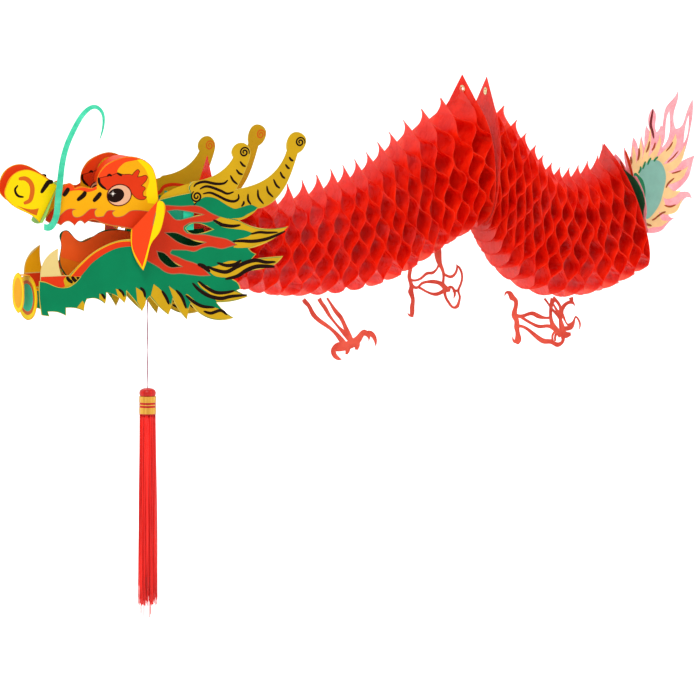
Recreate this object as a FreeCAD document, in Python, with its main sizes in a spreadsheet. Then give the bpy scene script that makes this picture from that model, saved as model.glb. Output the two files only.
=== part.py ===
"""Hanging honeycomb dragon: card head, two accordion body sections, film feet, flame tail, tassel.

Millimetres, +Z up. The dragon faces -X, its left side is -Y, and the origin is the centre of the
front eyelet at the top of the hump.
"""
import FreeCAD, Part

import math
import os
import Sketcher

Vector = FreeCAD.Vector
Rotation = FreeCAD.Rotation
X_AXIS = Vector(1, 0, 0)
Y_AXIS = Vector(0, 1, 0)
Z_AXIS = Vector(0, 0, 1)

# Driving dimensions, in millimetres.
DIMENSIONS = {
    "card_thickness": 0.6,
    "film_thickness": 0.5,
    "board_thickness": 0.6,
    "whisker_thickness": 0.6,
    "eyelet_bore_radius": 2.5,
    "eyelet_barrel_radius": 2.95,
    "eyelet_flange_radius": 4.7,
    "eyelet_flange_thickness": 0.9,
    "eyelet_hole_radius": 3.05,
    "eyelet_above_oval": 14,
    "front_spike_height": 18,
    "rear_spike_height": 13,
    "leaf_spike_half_base": 17,
    "board_spike_height": 32,
    "board_spike_half_base": 28,
    "neck_board_half_width": 44.5,
    "neck_spike_height": 44,
    "tail_spike_height": 21,
    "crown_half_width": 22,
    "crown_radius": 34,
    "snout_plate_length": 52,
    "brace_half_width": 39.8,
    "brace_web_height": 42,
    "cord_hole_radius": 1.6,
    "cord_diameter": 1.6,
    "cord_length": 146.4,
    "cap_radius": 10.6,
    "cap_height": 10.4,
    "band_height": 23.5,
    "skirt_length": 236,
    "skirt_top_radius": 10.4,
    "skirt_hem_radius": 12.4,
}

# The two body sections, as stations (x, z, lean in degrees, height of the leaf's oval).
# A positive lean carries the top of the leaf towards the tail.
FRONT_STATIONS = [
    (-362, -164, 2, 104), (-311, -183, 3, 108), (-252, -188, 6, 122), (-182, -180, 0, 138),
    (-122, -165, -10, 145), (-69, -133, -16, 150), (-24, -108, -10, 154), (5, -95, -3, 160),
]
REAR_STATIONS = [
    (26, -96, 4, 156), (46, -121, 14, 152), (75, -160, 16, 154), (110, -187, 9, 153),
    (144, -194, 0, 150), (185, -187, -10, 149), (227, -168, -17, 146),
]
FRONT_LEAVES = 16
REAR_LEAVES = 11
HALF_WIDTH_TO_HEIGHT = 0.36   # the leaf's oval is taller than it is wide
LEAF_SPIKE_WAIST = 0.4
BOARD_SPIKE_WAIST = 0.6
RIDGE_YAW = 13                # the front ridge board is turned this far to the left
REAR_RIDGE_YAW = -2           # the rear one is turned slightly the other way
YAW_REACH = 3                 # leaves over which that turn fades out
TINY = 1e-9

HEAD = Vector(-362, 0, -164)  # middle of the neck board
SIDE_YAW = 5
FACE_YAW = 9.5
CHEEK_YAW = 34

doc = FreeCAD.newDocument("dragon")
sheet = doc.addObject("Spreadsheet::Sheet", "dims")
parts = []


def fill_sheet():
    for row, (alias, value) in enumerate(DIMENSIONS.items(), start=1):
        sheet.set(f"A{row}", alias)
        sheet.set(f"B{row}", str(value))
        sheet.setAlias(f"B{row}", alias)
    doc.recompute()


# ---------------------------------------------------------------- sketching helpers

def plane_of(body, role):
    return next(item for item in body.Origin.OriginFeatures if item.Role == role)


def smooth(points):
    """Curve through the points: a line through two, a spline through more."""
    ends = [Vector(*point, 0) for point in points]
    if len(ends) == 2:
        return Part.LineSegment(*ends)
    curve = Part.BSplineCurve()
    curve.interpolate(ends)
    return curve


def draw_loop(sketch, strokes):
    """Closed loop of strokes that meet at sharp corners. Each stroke ends where the next begins."""
    for stroke in strokes:
        sketch.addGeometry(stroke if isinstance(stroke, Part.Arc) else smooth(stroke), False)


def new_body(label, placement):
    body = doc.addObject("PartDesign::Body", label)
    body.Label = label
    body.Placement = placement
    parts.append(body)
    return body


def new_sketch(body, role, offset=0):
    sketch = body.newObject("Sketcher::SketchObject", body.Label + "_sketch")
    sketch.AttachmentSupport = [(plane_of(body, role), "")]
    sketch.MapMode = "FlatFace"
    sketch.AttachmentOffset = FreeCAD.Placement(Vector(0, 0, offset), Rotation())
    return sketch


def pad(body, sketch, thickness):
    """Pad to both sides of the sketch by a sheet alias or expression."""
    feature = body.newObject("PartDesign::Pad", body.Label + "_pad")
    feature.Profile = sketch
    feature.SideType = "Symmetric"
    feature.setExpression("Length", thickness)
    return feature


def flat_plate(label, loops, placement, thickness, role="XZ_Plane"):
    """Die-cut plate: the first loop is its outline and the others are holes."""
    body = new_body(label, placement)
    sketch = new_sketch(body, role)
    for strokes in loops:
        draw_loop(sketch, strokes)
    pad(body, sketch, thickness)
    return body


def circle_cut(body, role, centre, radius_alias):
    """Round hole right through the plate, its radius bound to the sheet."""
    sketch = new_sketch(body, role)
    sketch.addGeometry(Part.Circle(Vector(*centre, 0), Z_AXIS, DIMENSIONS[radius_alias]), False)
    index = sketch.addConstraint(Sketcher.Constraint("Radius", 0, DIMENSIONS[radius_alias]))
    sketch.setExpression(f"Constraints[{index}]", f"dims.{radius_alias}")
    cut = body.newObject("PartDesign::Pocket", body.Label + "_pocket")
    cut.Profile = sketch
    cut.SideType = "Symmetric"
    cut.Type = "ThroughAll"


def ribbon(points):
    """Outline of a ribbon that follows (x, z, width) points. Zero width at an end is a sharp tip."""
    left, right = [], []
    for i, (x, z, width) in enumerate(points):
        before = points[max(i - 1, 0)]
        after = points[min(i + 1, len(points) - 1)]
        along = Vector(after[0] - before[0], after[1] - before[1], 0).normalize()
        side = Vector(-along.y, along.x, 0) * (width / 2)
        left.append((x + side.x, z + side.y))
        right.append((x - side.x, z - side.y))
    right.reverse()
    if points[-1][2] == 0:
        return [left, right, [right[-1], left[0]]]
    if points[0][2] == 0:
        return [left, [left[-1], right[0]], right]
    return [left, [left[-1], right[0]], right, [right[-1], left[0]]]


def ribbon_plate(label, ribbons, placement, thickness):
    """Plate in the XZ plane made of ribbons that run into each other, one pad each."""
    body = new_body(label, placement)
    for points in ribbons:
        sketch = new_sketch(body, "XZ_Plane")
        draw_loop(sketch, ribbon(points))
        pad(body, sketch, thickness)
    return body


def mirrored(strokes):
    return [[(-x, y) for x, y in reversed(stroke)] for stroke in reversed(strokes)]


def on_head(x, y, z, yaw=0, lean=0):
    """Placement on the head: yaw about Z, then lean about the plate's own Y."""
    turn = Rotation(Z_AXIS, yaw) * Rotation(Y_AXIS, lean)
    return FreeCAD.Placement(HEAD + Vector(x, y, z), turn)


def both_sides(name, loops, x, y, z, yaw, thickness):
    """The same card on the left (-Y) and on the right, splayed outwards to the back by yaw."""
    flat_plate(name + "_left", loops, on_head(x, -y, z, -yaw), thickness)
    flat_plate(name + "_right", loops, on_head(x, y, z, yaw), thickness)


# ---------------------------------------------------------------- body sections

def section_frames(stations, leaves):
    """Evenly spaced (position, lean, height) from the first station to the last."""
    line = Part.BSplineCurve()
    line.interpolate([Vector(x, 0, z) for x, z, lean, height in stations])
    knots = [line.parameter(Vector(x, 0, z)) for x, z, lean, height in stations]
    frames = []
    for k in range(leaves + 2):
        t = line.parameterAtDistance(line.length() * k / (leaves + 1), line.FirstParameter)
        i = max(j for j in range(len(knots) - 1) if knots[j] <= t + TINY)
        place = i + (t - knots[i]) / (knots[i + 1] - knots[i])
        lean, height = lean_and_height(stations, place)
        frames.append((line.value(t), lean, height))
    return frames


def lean_and_height(stations, place):
    """Lean and height part of the way between two stations."""
    i = min(int(place), len(stations) - 2)
    share = place - i
    start, end = stations[i], stations[i + 1]
    return (start[2] + (end[2] - start[2]) * share, start[3] + (end[3] - start[3]) * share)


def leaf_placement(position, lean, yaw):
    return FreeCAD.Placement(position, Rotation(Z_AXIS, yaw) * Rotation(Y_AXIS, lean))


def leaf_outline(height, half_width, spike_height, spike_half_base, spike_waist):
    """Oval with a flattish belly, two belly corners and a spike on the back.

    spike_waist is the spike's half width a third of the way up, as a share of that at its foot.
    """
    belly = (0.58 * half_width, -0.455 * height)
    spike_foot = (spike_half_base, 0.478 * height)
    side = [belly, (0.86 * half_width, -0.33 * height), (half_width, -0.04 * height),
            (0.86 * half_width, 0.28 * height), spike_foot]
    tip = (0, 0.5 * height + spike_height)
    flank_middle = (spike_waist * spike_half_base, 0.5 * height + 0.34 * spike_height)
    flank = [spike_foot, flank_middle, tip]
    base = Part.Arc(Vector(-belly[0], belly[1], 0), Vector(0, -0.5 * height, 0), Vector(*belly, 0))
    return [base, side, flank] + mirrored([side, flank])


def leaf(label, frame, yaw, section):
    """One glued leaf pair of the front or rear section, standing across the body."""
    position, lean, height = frame
    outline = leaf_outline(height, HALF_WIDTH_TO_HEIGHT * height, DIMENSIONS[section + "_spike_height"],
                           DIMENSIONS["leaf_spike_half_base"], LEAF_SPIKE_WAIST)
    flat_plate(label, [outline], leaf_placement(position, lean, yaw), "dims.film_thickness", "YZ_Plane")


def end_board(label, frame, yaw=0, half_width=None, spike="board_spike_height"):
    """Stiff board at the end of a section. Its spike is taller and fuller than a leaf's."""
    position, lean, height = frame
    outline = leaf_outline(height, half_width or HALF_WIDTH_TO_HEIGHT * height, DIMENSIONS[spike],
                           DIMENSIONS["board_spike_half_base"], BOARD_SPIKE_WAIST)
    placement = leaf_placement(position, lean, yaw)
    return flat_plate(label, [outline], placement, "dims.board_thickness", "YZ_Plane")


def eyelet(label, placement):
    """Rolled metal eyelet: a barrel with a flange on each side of the board."""
    body = new_body(label, placement)
    sketch = new_sketch(body, "XZ_Plane")
    bore = DIMENSIONS["eyelet_bore_radius"]
    barrel = DIMENSIONS["eyelet_barrel_radius"]
    flange = DIMENSIONS["eyelet_flange_radius"]
    inner = DIMENSIONS["board_thickness"] / 2 + 0.02
    outer = inner + DIMENSIONS["eyelet_flange_thickness"]
    roll = outer - 0.35
    corners = [(-outer, bore), (-outer, barrel), (-roll, flange), (-inner, flange), (-inner, barrel),
               (inner, barrel), (inner, flange), (roll, flange), (outer, barrel), (outer, bore)]
    draw_loop(sketch, [[corners[i - 1], corners[i]] for i in range(len(corners))])
    turn = body.newObject("PartDesign::Revolution", label + "_revolution")
    turn.Profile = sketch
    turn.ReferenceAxis = (sketch, ["H_Axis"])
    turn.Angle = 360
    return body


def ridge_board(name, frame, yaw):
    """End board at the top of the hump, with its eyelet in the spike."""
    position, lean, height = frame
    board = end_board("ridge_board_" + name, frame, yaw)
    up = 0.5 * height + DIMENSIONS["eyelet_above_oval"]
    circle_cut(board, "YZ_Plane", (0, up), "eyelet_hole_radius")
    turn = Rotation(Z_AXIS, yaw) * Rotation(Y_AXIS, lean)
    centre = position + turn.multVec(Vector(0, 0, up))
    eyelet("ridge_eyelet_" + name, FreeCAD.Placement(centre, turn))


def front_frames():
    """Stations from the neck to the ridge, moved so that the front eyelet is the origin."""
    frames = section_frames(FRONT_STATIONS, FRONT_LEAVES)
    position, lean, height = frames[-1]
    turn = Rotation(Z_AXIS, RIDGE_YAW) * Rotation(Y_AXIS, lean)
    up = 0.5 * height + DIMENSIONS["eyelet_above_oval"]
    frames[-1] = (-turn.multVec(Vector(0, 0, up)), lean, height)
    return frames


def front_yaw(k):
    """The turn of the front ridge board fades out over the leaves in front of it."""
    return RIDGE_YAW * max(0, 1 - (FRONT_LEAVES + 1 - k) / YAW_REACH)


def front_section():
    frames = front_frames()
    end_board("neck_board", frames[0], half_width=DIMENSIONS["neck_board_half_width"],
              spike="neck_spike_height")
    for k in range(1, FRONT_LEAVES + 1):
        leaf(f"front_leaf_{k:02d}", frames[k], front_yaw(k), "front")
    ridge_board("front", frames[-1], RIDGE_YAW)


def rear_section():
    frames = section_frames(REAR_STATIONS, REAR_LEAVES)
    ridge_board("rear", frames[0], REAR_RIDGE_YAW)
    for k in range(1, REAR_LEAVES + 1):
        leaf(f"rear_leaf_{k:02d}", frames[k], 0, "rear")
    end_board("tail_board", frames[-1], spike="tail_spike_height")


# ---------------------------------------------------------------- head

def lens(left, top, right, bottom):
    """Pointed opening between two curved edges."""
    return [[left] + top + [right], [right] + bottom + [left]]


def side_cards():
    """Lower jaw, mane flames and two horns in one card a side. x runs back from the neck board."""
    jaw_top = [
        [(-244, -48), (-234, -50), (-220, -56), (-206, -57), (-196, -52), (-189, -45)],
        [(-189, -45), (-205, -43)],
        [(-205, -43), (-190, -29), (-172, -15), (-154, -6), (-136, -1), (-114, -1)],
        [(-114, -1), (-96, -2), (-88, 17), (-83, 48)],
        [(-83, 48), (-62, 52), (-42, 55)],
        [(-42, 55), (-44, 62), (-38, 69)],
    ]
    horns = [
        [(-38, 69), (-13, 74), (6, 85), (16, 97)],
        [(16, 97), (14, 106), (21, 114), (32, 114), (39, 105), (37, 92), (30, 75), (20, 57)],
        [(20, 57), (37, 60), (59, 68), (77, 83), (88, 103)],
        [(88, 103), (89, 117), (96, 125), (106, 125), (114, 117), (111, 105), (103, 99)],
        [(103, 99), (96, 79), (84, 55), (64, 36), (49, 32)],
    ]
    flames = [
        [(49, 32), (38, 23), (24, 18)],
        [(24, 18), (41, 10), (60, 6), (90, 8)],
        [(90, 8), (68, -8), (37, -18)],
        [(37, -18), (41, -22), (47, -25)],
        [(47, -25), (41, -31)],
        [(41, -31), (59, -30), (83, -29)],
        [(83, -29), (68, -41), (38, -46), (14, -55)],
        [(14, -55), (22, -60), (26, -68)],
        [(26, -68), (21, -70)],
        [(21, -70), (36, -78)],
        [(36, -78), (17, -83), (-6, -84)],
        [(-6, -84), (3, -94), (17, -104)],
    ]
    beard = [
        [(17, -104), (-7, -106), (-26, -99), (-41, -84)],
        [(-41, -84), (-44, -92), (-46, -104)],
        [(-46, -104), (-55, -94), (-65, -77)],
        [(-65, -77), (-67, -86), (-71, -97)],
        [(-71, -97), (-82, -88), (-96, -73)],
        [(-96, -73), (-102, -80), (-106, -92)],
        [(-106, -92), (-114, -80), (-127, -65)],
        [(-127, -65), (-127, -72), (-130, -80)],
        [(-130, -80), (-140, -71), (-154, -66)],
        [(-154, -66), (-154, -72), (-156, -80)],
        [(-156, -80), (-168, -73), (-180, -73)],
        [(-180, -73), (-183, -80), (-184, -88)],
        [(-184, -88), (-195, -84), (-208, -83)],
        [(-208, -83), (-208, -93)],
        [(-208, -93), (-220, -88), (-232, -87)],
        [(-232, -87), (-230, -93)],
        [(-230, -93), (-241, -91)],
        [(-241, -91), (-244, -69), (-244, -48)],
    ]
    openings = [
        lens((-72, 33), [(-60, 34), (-42, 31)], (-24, 27), [(-42, 24), (-60, 22)]),
        lens((-48, 11), [(-40, 16), (-26, 15)], (-11, 8), [(-26, 4), (-42, 5)]),
        lens((-75, 6), [(-60, 5), (-42, -3)], (-21, -8), [(-37, -12), (-56, -7)]),
        lens((-86, -17), [(-76, -20), (-65, -30)], (-53, -37), [(-69, -37), (-82, -27)]),
    ]
    outline = jaw_top + horns + flames + beard
    both_sides("side_card", [outline] + openings, 0, 45.4, 0, SIDE_YAW, "dims.card_thickness")


def face_cards():
    """Upper jaw, eye and brow. The wavy lower edge is the lip."""
    outline = [
        [(-132, 23), (-128, 42), (-124, 58), (-121, 69)],
        [(-121, 69), (-113, 72), (-107, 65)],
        [(-107, 65), (-96, 67), (-86, 65), (-78, 68)],
        [(-78, 68), (-76, 82), (-66, 94), (-52, 100), (-36, 103), (-19, 99), (-7, 90), (-1, 75), (2, 49)],
        [(2, 49), (1, 29), (-7, 8)],
        [(-7, 8), (-29, 11), (-49, 15)],
        [(-49, 15), (-61, 17), (-74, 21)],
        [(-74, 21), (-84, 25), (-94, 20)],
        [(-94, 20), (-100, 24), (-107, 18)],
        [(-107, 18), (-116, 24), (-125, 19)],
        [(-125, 19), (-132, 23)],
    ]
    both_sides("face_card", [outline], -85, 36, 0, FACE_YAW, "dims.card_thickness")


def nose_cards():
    """The pair sits a little askew: the right card is higher than the left one."""
    outline = [
        [(-35, 73), (-25, 87), (-7, 92), (11, 86), (25, 77), (36, 70)],
        [(36, 70), (11, 25)],
        [(11, 25), (-1, 35), (-25, 47), (-37, 61), (-35, 73)],
    ]
    flat_plate("nose_card_left", [outline], on_head(-246, -9, -1.5), "dims.card_thickness")
    flat_plate("nose_card_right", [outline], on_head(-246, 9, 4), "dims.card_thickness")


def snout_plate():
    """Cross plate that closes the nose cards behind. It is wider at the whiskers."""
    half_top, half_bottom = 11, 16
    half = DIMENSIONS["snout_plate_length"] / 2
    side = [(half_bottom, -half), (half_bottom, -0.5 * half), (half_top + 1, 0.2 * half), (half_top, half)]
    outline = [[(-half_bottom, -half), (0, -half - 3), (half_bottom, -half)], side,
               [(half_top, half), (0, half + 3), (-half_top, half)], mirrored([side])[0]]
    flat_plate("snout_plate", [outline], on_head(-221.3, 0, 47, 0, 29), "dims.card_thickness", "YZ_Plane")


def crown_band():
    """Bent band over the brow, between the two face cards."""
    body = new_body("crown_band", on_head(-110, 0, 66))
    sketch = new_sketch(body, "XZ_Plane")
    outer = DIMENSIONS["crown_radius"]
    inner = outer - DIMENSIONS["card_thickness"]
    start, middle, end = (math.radians(angle) for angle in (176, 118, 60))

    def on_circle(radius, angle):
        return Vector(radius * math.cos(angle), radius * math.sin(angle), 0)

    sketch.addGeometry(Part.Arc(*(on_circle(outer, a) for a in (start, middle, end))), False)
    sketch.addGeometry(Part.LineSegment(on_circle(outer, end), on_circle(inner, end)), False)
    sketch.addGeometry(Part.Arc(*(on_circle(inner, a) for a in (end, middle, start))), False)
    sketch.addGeometry(Part.LineSegment(on_circle(inner, start), on_circle(outer, start)), False)
    pad(body, sketch, "2 * dims.crown_half_width")


def cheeks():
    outline = [
        [(35, 49), (17, 29), (0, 12)],
        [(0, 12), (1, -13), (15, -39)],
        [(15, -39), (21, -20), (26, -4), (35, 8), (41, 27), (41, 46), (35, 49)],
    ]
    both_sides("cheek", [outline], -121, 36.5, 0, CHEEK_YAW, "dims.card_thickness")


def tongue_card():
    """Middle card: the tongue in front, and a spine back to the neck board with the cord's hole."""
    outline = [
        [(-202, 0), (-199, 10), (-192, 11), (-185, 5), (-175, -3), (-164, -2), (-146, 7), (-121, 9),
         (-95, 4), (-66, 3)],
        [(-66, 3), (-1.5, 5)],
        [(-1.5, 5), (-2.8, -37)],
        [(-2.8, -37), (-35, -46), (-77, -44), (-133, -37), (-181, -45)],
        [(-181, -45), (-192, -47)],
        [(-192, -47), (-201, -35), (-203, -23), (-201, -13), (-202, 0)],
    ]
    body = flat_plate("tongue_card", [outline], on_head(0, 0, 0), "dims.card_thickness")
    circle_cut(body, "XZ_Plane", (-80, -38), "cord_hole_radius")


def oval(half_width, half_height):
    """Closed oval of four spline quarters."""
    bulge = 0.72
    quarter = [(0, -half_height), (bulge * half_width, -bulge * half_height), (half_width, 0)]
    upper = [(half_width, 0), (bulge * half_width, bulge * half_height), (0, half_height)]
    return [quarter, upper] + mirrored([quarter, upper])


def chin_plates():
    """Two lip ovals across the front of the jaw, joined by a flap along their tops."""
    flat_plate("chin_plate_rear", [oval(27, 28.5)], on_head(-247.2, 0, -70.5), "dims.card_thickness", "YZ_Plane")
    front = flat_plate("chin_plate_front", [oval(16, 25.5)], on_head(-260, 0, -64), "dims.card_thickness",
                       "YZ_Plane")
    flap = new_sketch(front, "XZ_Plane")
    draw_loop(flap, [[(-0.2, 22), (12.3, 21.5)], [(12.3, 21.5), (12.3, 22.1)], [(12.3, 22.1), (-0.2, 22.6)],
                     [(-0.2, 22.6), (-0.2, 22)]])
    pad(front, flap, "16")


def fangs():
    """One curved fang on a strip of gum inside each side card. The pair is one node."""
    outline = [
        [(-13, -42), (-9, -25), (11, -8)],
        [(11, -8), (11, -25), (15, -42)],
        [(15, -42), (30, -42), (44, -39)],
        [(44, -39), (42, -54)],
        [(42, -54), (10, -62), (-13, -58)],
        [(-13, -58), (-13, -42)],
    ]
    thickness = DIMENSIONS["card_thickness"]
    face = Part.Face(Part.Wire([smooth(stroke).toShape() for stroke in outline]))
    tooth = face.extrude(Vector(0, 0, thickness))
    tooth.Placement = FreeCAD.Placement(Vector(0, thickness / 2, 0), Rotation(X_AXIS, 90))
    pair = []
    for side in (-1, 1):
        fang = tooth.copy()
        fang.Placement = on_head(-228, side * 24.4, 0, side * SIDE_YAW).multiply(tooth.Placement)
        pair.append(fang)
    feature = doc.addObject("Part::Feature", "fangs")
    feature.Label = "fangs"
    feature.Shape = Part.makeCompound(pair)
    parts.append(feature)


def neck_brace():
    """Folded cross brace: a web across the head, a tall flange on the left and a short one on the right."""
    body = new_body("neck_brace", on_head(-36, 0, 8))
    web = new_sketch(body, "YZ_Plane")
    half = DIMENSIONS["brace_half_width"]
    top = DIMENSIONS["brace_web_height"]
    draw_loop(web, [[(-half, 0), (half, 0)], [(half, 0), (half, top)], [(half, top), (-half, top)],
                    [(-half, top), (-half, 0)]])
    pad(body, web, "dims.card_thickness")
    for offset, shoulder, tip in ((half, 46, 60), (-half, 28, 34)):
        flange = new_sketch(body, "XZ_Plane", offset)
        draw_loop(flange, [[(0.3, 0), (0.3, shoulder)], [(0.3, shoulder), (-4, tip)],
                           [(-4, tip), (-14, shoulder)], [(-14, shoulder), (-14, 0)], [(-14, 0), (0.3, 0)]])
        pad(body, flange, "dims.card_thickness")


def whisker():
    """Curled strip that stands up beside the snout."""
    curl = [(-4, 17, 8), (5, 17, 9), (12, 27, 8.5), (15, 46, 8.5), (18, 70, 8.5), (21, 93, 8), (28, 118, 7.5),
            (40, 141, 7), (53, 158, 6.2), (67, 164, 5.2), (76, 158, 4.2), (79, 145, 3.2), (73, 122, 0)]
    ribbon_plate("whisker", [curl], on_head(-230, -20, 2), "dims.whisker_thickness")


# ---------------------------------------------------------------- tassel

def tassel():
    """Cord from the hole in the middle card, then a cap, gold bands and a skirt of threads."""
    x, top = -80, -45
    cord = doc.addObject("Part::Cylinder", "tassel_cord")
    cord.Label = "tassel_cord"
    cord.setExpression("Radius", "dims.cord_diameter / 2")
    cord.setExpression("Height", "dims.cord_length")
    cap_top = top - DIMENSIONS["cord_length"]
    cord.Placement = on_head(x, 0, cap_top)
    parts.append(cord)
    radius, height = DIMENSIONS["cap_radius"], DIMENSIONS["cap_height"]
    turned("tassel_cap", on_head(x, 0, cap_top), [
        [(0, -0.4), (0.6 * radius, -1), (0.93 * radius, -0.3 * height), (radius, -0.6 * height),
         (0.9 * radius, -height)],
        [(0.9 * radius, -height), (0, -height)]])
    bands_top = cap_top - height - 0.2
    turned("tassel_bands", on_head(x, 0, bands_top), band_profile())
    skirt_top = bands_top - DIMENSIONS["band_height"] - 0.2
    skirt = doc.addObject("Part::Cone", "tassel_skirt")
    skirt.Label = "tassel_skirt"
    skirt.setExpression("Radius1", "dims.skirt_hem_radius")
    skirt.setExpression("Radius2", "dims.skirt_top_radius")
    skirt.setExpression("Height", "dims.skirt_length")
    skirt.Placement = on_head(x, 0, skirt_top - DIMENSIONS["skirt_length"])
    parts.append(skirt)


def band_profile():
    """Half section of the bands: two wide gold rings with a waist between them."""
    height = DIMENSIONS["band_height"]
    ring, waist = 10.9, 10.1
    depths = [0, 6.5, 6.5, height - 7.5, height - 7.5, height]
    radii = [ring, ring, waist, waist, ring, ring]
    points = [(0, 0)] + [(r, -d) for r, d in zip(radii, depths)] + [(0, -height)]
    return [[points[i], points[i + 1]] for i in range(len(points) - 1)]


def turned(label, placement, strokes):
    """Solid of revolution about Z from a half section that starts and ends on the axis."""
    body = new_body(label, placement)
    sketch = new_sketch(body, "XZ_Plane")
    draw_loop(sketch, strokes + [[strokes[-1][-1], strokes[0][0]]])
    turn = body.newObject("PartDesign::Revolution", label + "_revolution")
    turn.Profile = sketch
    turn.ReferenceAxis = (sketch, ["V_Axis"])
    turn.Angle = 360


# ---------------------------------------------------------------- feet and tail

FOOT_SIDE = 16                              # distance of a foot's plane from the middle plane
FOOT_FRONT_LEFT = Vector(-220, -FOOT_SIDE, -266)
FOOT_FRONT_RIGHT = Vector(-46, FOOT_SIDE, -232)
FOOT_REAR_LEFT = Vector(138, -FOOT_SIDE, -280)
FOOT_REAR_RIGHT = Vector(138, FOOT_SIDE, -280)


def hung(position):
    return FreeCAD.Placement(position, Rotation())


def front_feet():
    striding = [
        [(-12, 13, 5), (-9, 9, 6), (-5, 5, 5.3), (0, -4, 6), (8, -13, 5.7), (18, -20, 5.3), (29, -28, 4.6),
         (37, -36, 6), (45, -46, 8.4)],
        [(10, 13, 6), (12, 9, 5.3), (18, 1, 5.3), (23, -7, 4.6), (29, -15, 3.4), (37, -24, 3.6), (45, -32, 6),
         (54, -41, 7.6)],
        [(21, 13, 3), (26, 6, 3.4), (33, -4, 5.3), (40, -12, 5.7), (45, -21, 5.3), (49, -30, 6.8), (54, -41, 7.6)],
        [(29, -51, 6), (43, -50, 9.5), (53, -47, 11), (62, -43, 10.5), (68, -37, 8.4), (73, -33, 8), (78, -36, 6),
         (79, -44, 0)],
        [(44, -50, 9), (35, -48, 8), (30, -54, 7.2), (33, -61, 6), (42, -65, 0)],
        [(49, -48, 9), (50, -53, 7), (48, -59, 3)],
        [(61, -44, 11), (63, -49, 8), (62, -54, 3.5)],
        [(76, -34, 6), (83, -35, 6.8), (88, -41, 5.3), (89, -51, 0)],
    ]
    ribbon_plate("foot_front_left", striding, hung(FOOT_FRONT_LEFT), "dims.film_thickness")
    clawed = [
        [(-20, 14, 8), (-20, 4, 5.3), (-21, -3, 5.3), (-19, -11, 5.3), (-18, -17, 6.3), (-19, -21, 7.5),
         (-17, -28, 6), (-16, -35, 5.4), (-17, -41, 6.4), (-17, -48, 6.2), (-19, -54, 5)],
        [(-15, -52, 4), (-20, -52, 3), (-24, -48, 0)],
        [(-19, -7, 3.5), (-10, -8, 3), (-3, -5, 3.5), (5, 0, 4), (11, 0, 4), (16, 3, 3), (20, 9, 3.5)],
        [(19, 33, 8), (20, 18, 9), (22, 11, 6.5), (25, 5, 4.7), (27, -1, 4), (27, -9, 3.5), (26, -16, 5.3)],
        [(-16, -15, 4), (-9, -17, 3.5), (-4, -13, 3.5), (3, -11, 3.5), (12, -11, 5), (21, -13, 5.3),
         (26, -16, 6.5), (31, -21, 7), (37, -22, 5)],
        [(-8, -17, 3.5), (1, -22, 3), (10, -26, 3.5), (17, -27, 4.7), (24, -25, 5), (30, -22, 7)],
        [(26, -1, 3.5), (33, -5, 3.5), (38, -6, 4), (43, -3, 3.5), (46, 3, 3), (45, 10, 0)],
        [(45, 9, 0), (50, 4, 3), (53, -3, 3), (53, -11, 3), (50, -19, 3.2), (48, -24, 3.5), (50, -31, 3),
         (49, -38, 3.5), (46, -44, 4.7), (42, -45, 3.5), (35, -39, 3.5), (31, -33, 3.5), (29, -23, 5.3)],
        [(33, -22, 4.7), (38, -19, 3.5), (42, -23, 3.5), (43, -29, 3), (41, -34, 0)],
        [(40, -24, 3), (49, -24, 3.5)],
    ]
    ribbon_plate("foot_front_right", clawed, hung(FOOT_FRONT_RIGHT), "dims.film_thickness")


def rear_feet():
    spread = [
        [(-87, 17, 0), (-84, 22, 3.8), (-80, 21, 6), (-76, 15, 7.6), (-72, 12, 6), (-71, 6, 5.7), (-73, -2, 6.8),
         (-73, -8, 8), (-70, -15, 6.8), (-70, -21, 7.6), (-69, -28, 6), (-68, -37, 9), (-71, -43, 6)],
        [(-68, -40, 5), (-73, -40, 4), (-76, -33, 0)],
        [(-71, -7, 4.6), (-59, -8, 4.6), (-48, -6, 5.3), (-41, -9, 6), (-32, -12, 3.8), (-21, -12, 4.6)],
        [(-65, -9, 3.8), (-57, -14, 3.8), (-48, -19, 3.8), (-37, -23, 4.6), (-25, -23, 4.6), (-16, -28, 5.3),
         (-8, -36, 7)],
        [(-70, -21, 4.6), (-59, -23, 3.8), (-50, -29, 4.6), (-40, -37, 6), (-30, -42, 6.6), (-21, -43, 6),
         (-13, -47, 6), (-7, -45, 5.3), (-7, -34, 6)],
        [(-18, 11, 9), (-21, 4, 5.3), (-22, -3, 4.6), (-22, -12, 4.6), (-20, -20, 6), (-14, -28, 6.8), (-7, -36, 6.8)],
        [(-31, 12, 3), (-26, 6, 2.6), (-20, -2, 3), (-13, -9, 3.8), (-8, -16, 3.8), (-5, -24, 4.6), (-4, -33, 8)],
        [(-12, -29, 3.8), (-19, -34, 3), (-19, -42, 3)],
    ]
    ribbon_plate("foot_rear_left", spread, hung(FOOT_REAR_LEFT), "dims.film_thickness")
    folded = [
        [(-3, 8, 7), (4, 3, 4), (8, -4, 3.8), (8, -10, 4)],
        [(-6, 3, 2.6), (1, -4, 3), (7, -11, 6), (11, -6, 5.3), (16, 0, 4.6), (23, 2, 4.6), (29, -4, 0)],
        [(23, 8, 6), (24, 4, 5), (24, 1, 4)],
        [(9, -7, 6.8), (9, -14, 6), (8, -23, 4), (9, -31, 4.6), (12, -39, 9)],
        [(9, -12, 4.6), (14, -19, 2.8), (19, -26, 3.4), (23, -28, 8), (27, -23, 4), (30, -17, 2.6), (34, -21, 2.6),
         (36, -27, 2.4), (34, -34, 0)],
        [(10, -30, 6), (17, -31, 6), (24, -29, 6.8)],
        [(10, -37, 10), (16, -39, 8.4), (23, -38, 4)],
        [(10, -34, 4.6), (2, -38, 3.4), (1, -46, 3)],
    ]
    ribbon_plate("foot_rear_right", folded, hung(FOOT_REAR_RIGHT), "dims.film_thickness")


TAIL_POSITION = Vector(REAR_STATIONS[-1][0], 0, REAR_STATIONS[-1][1])


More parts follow.
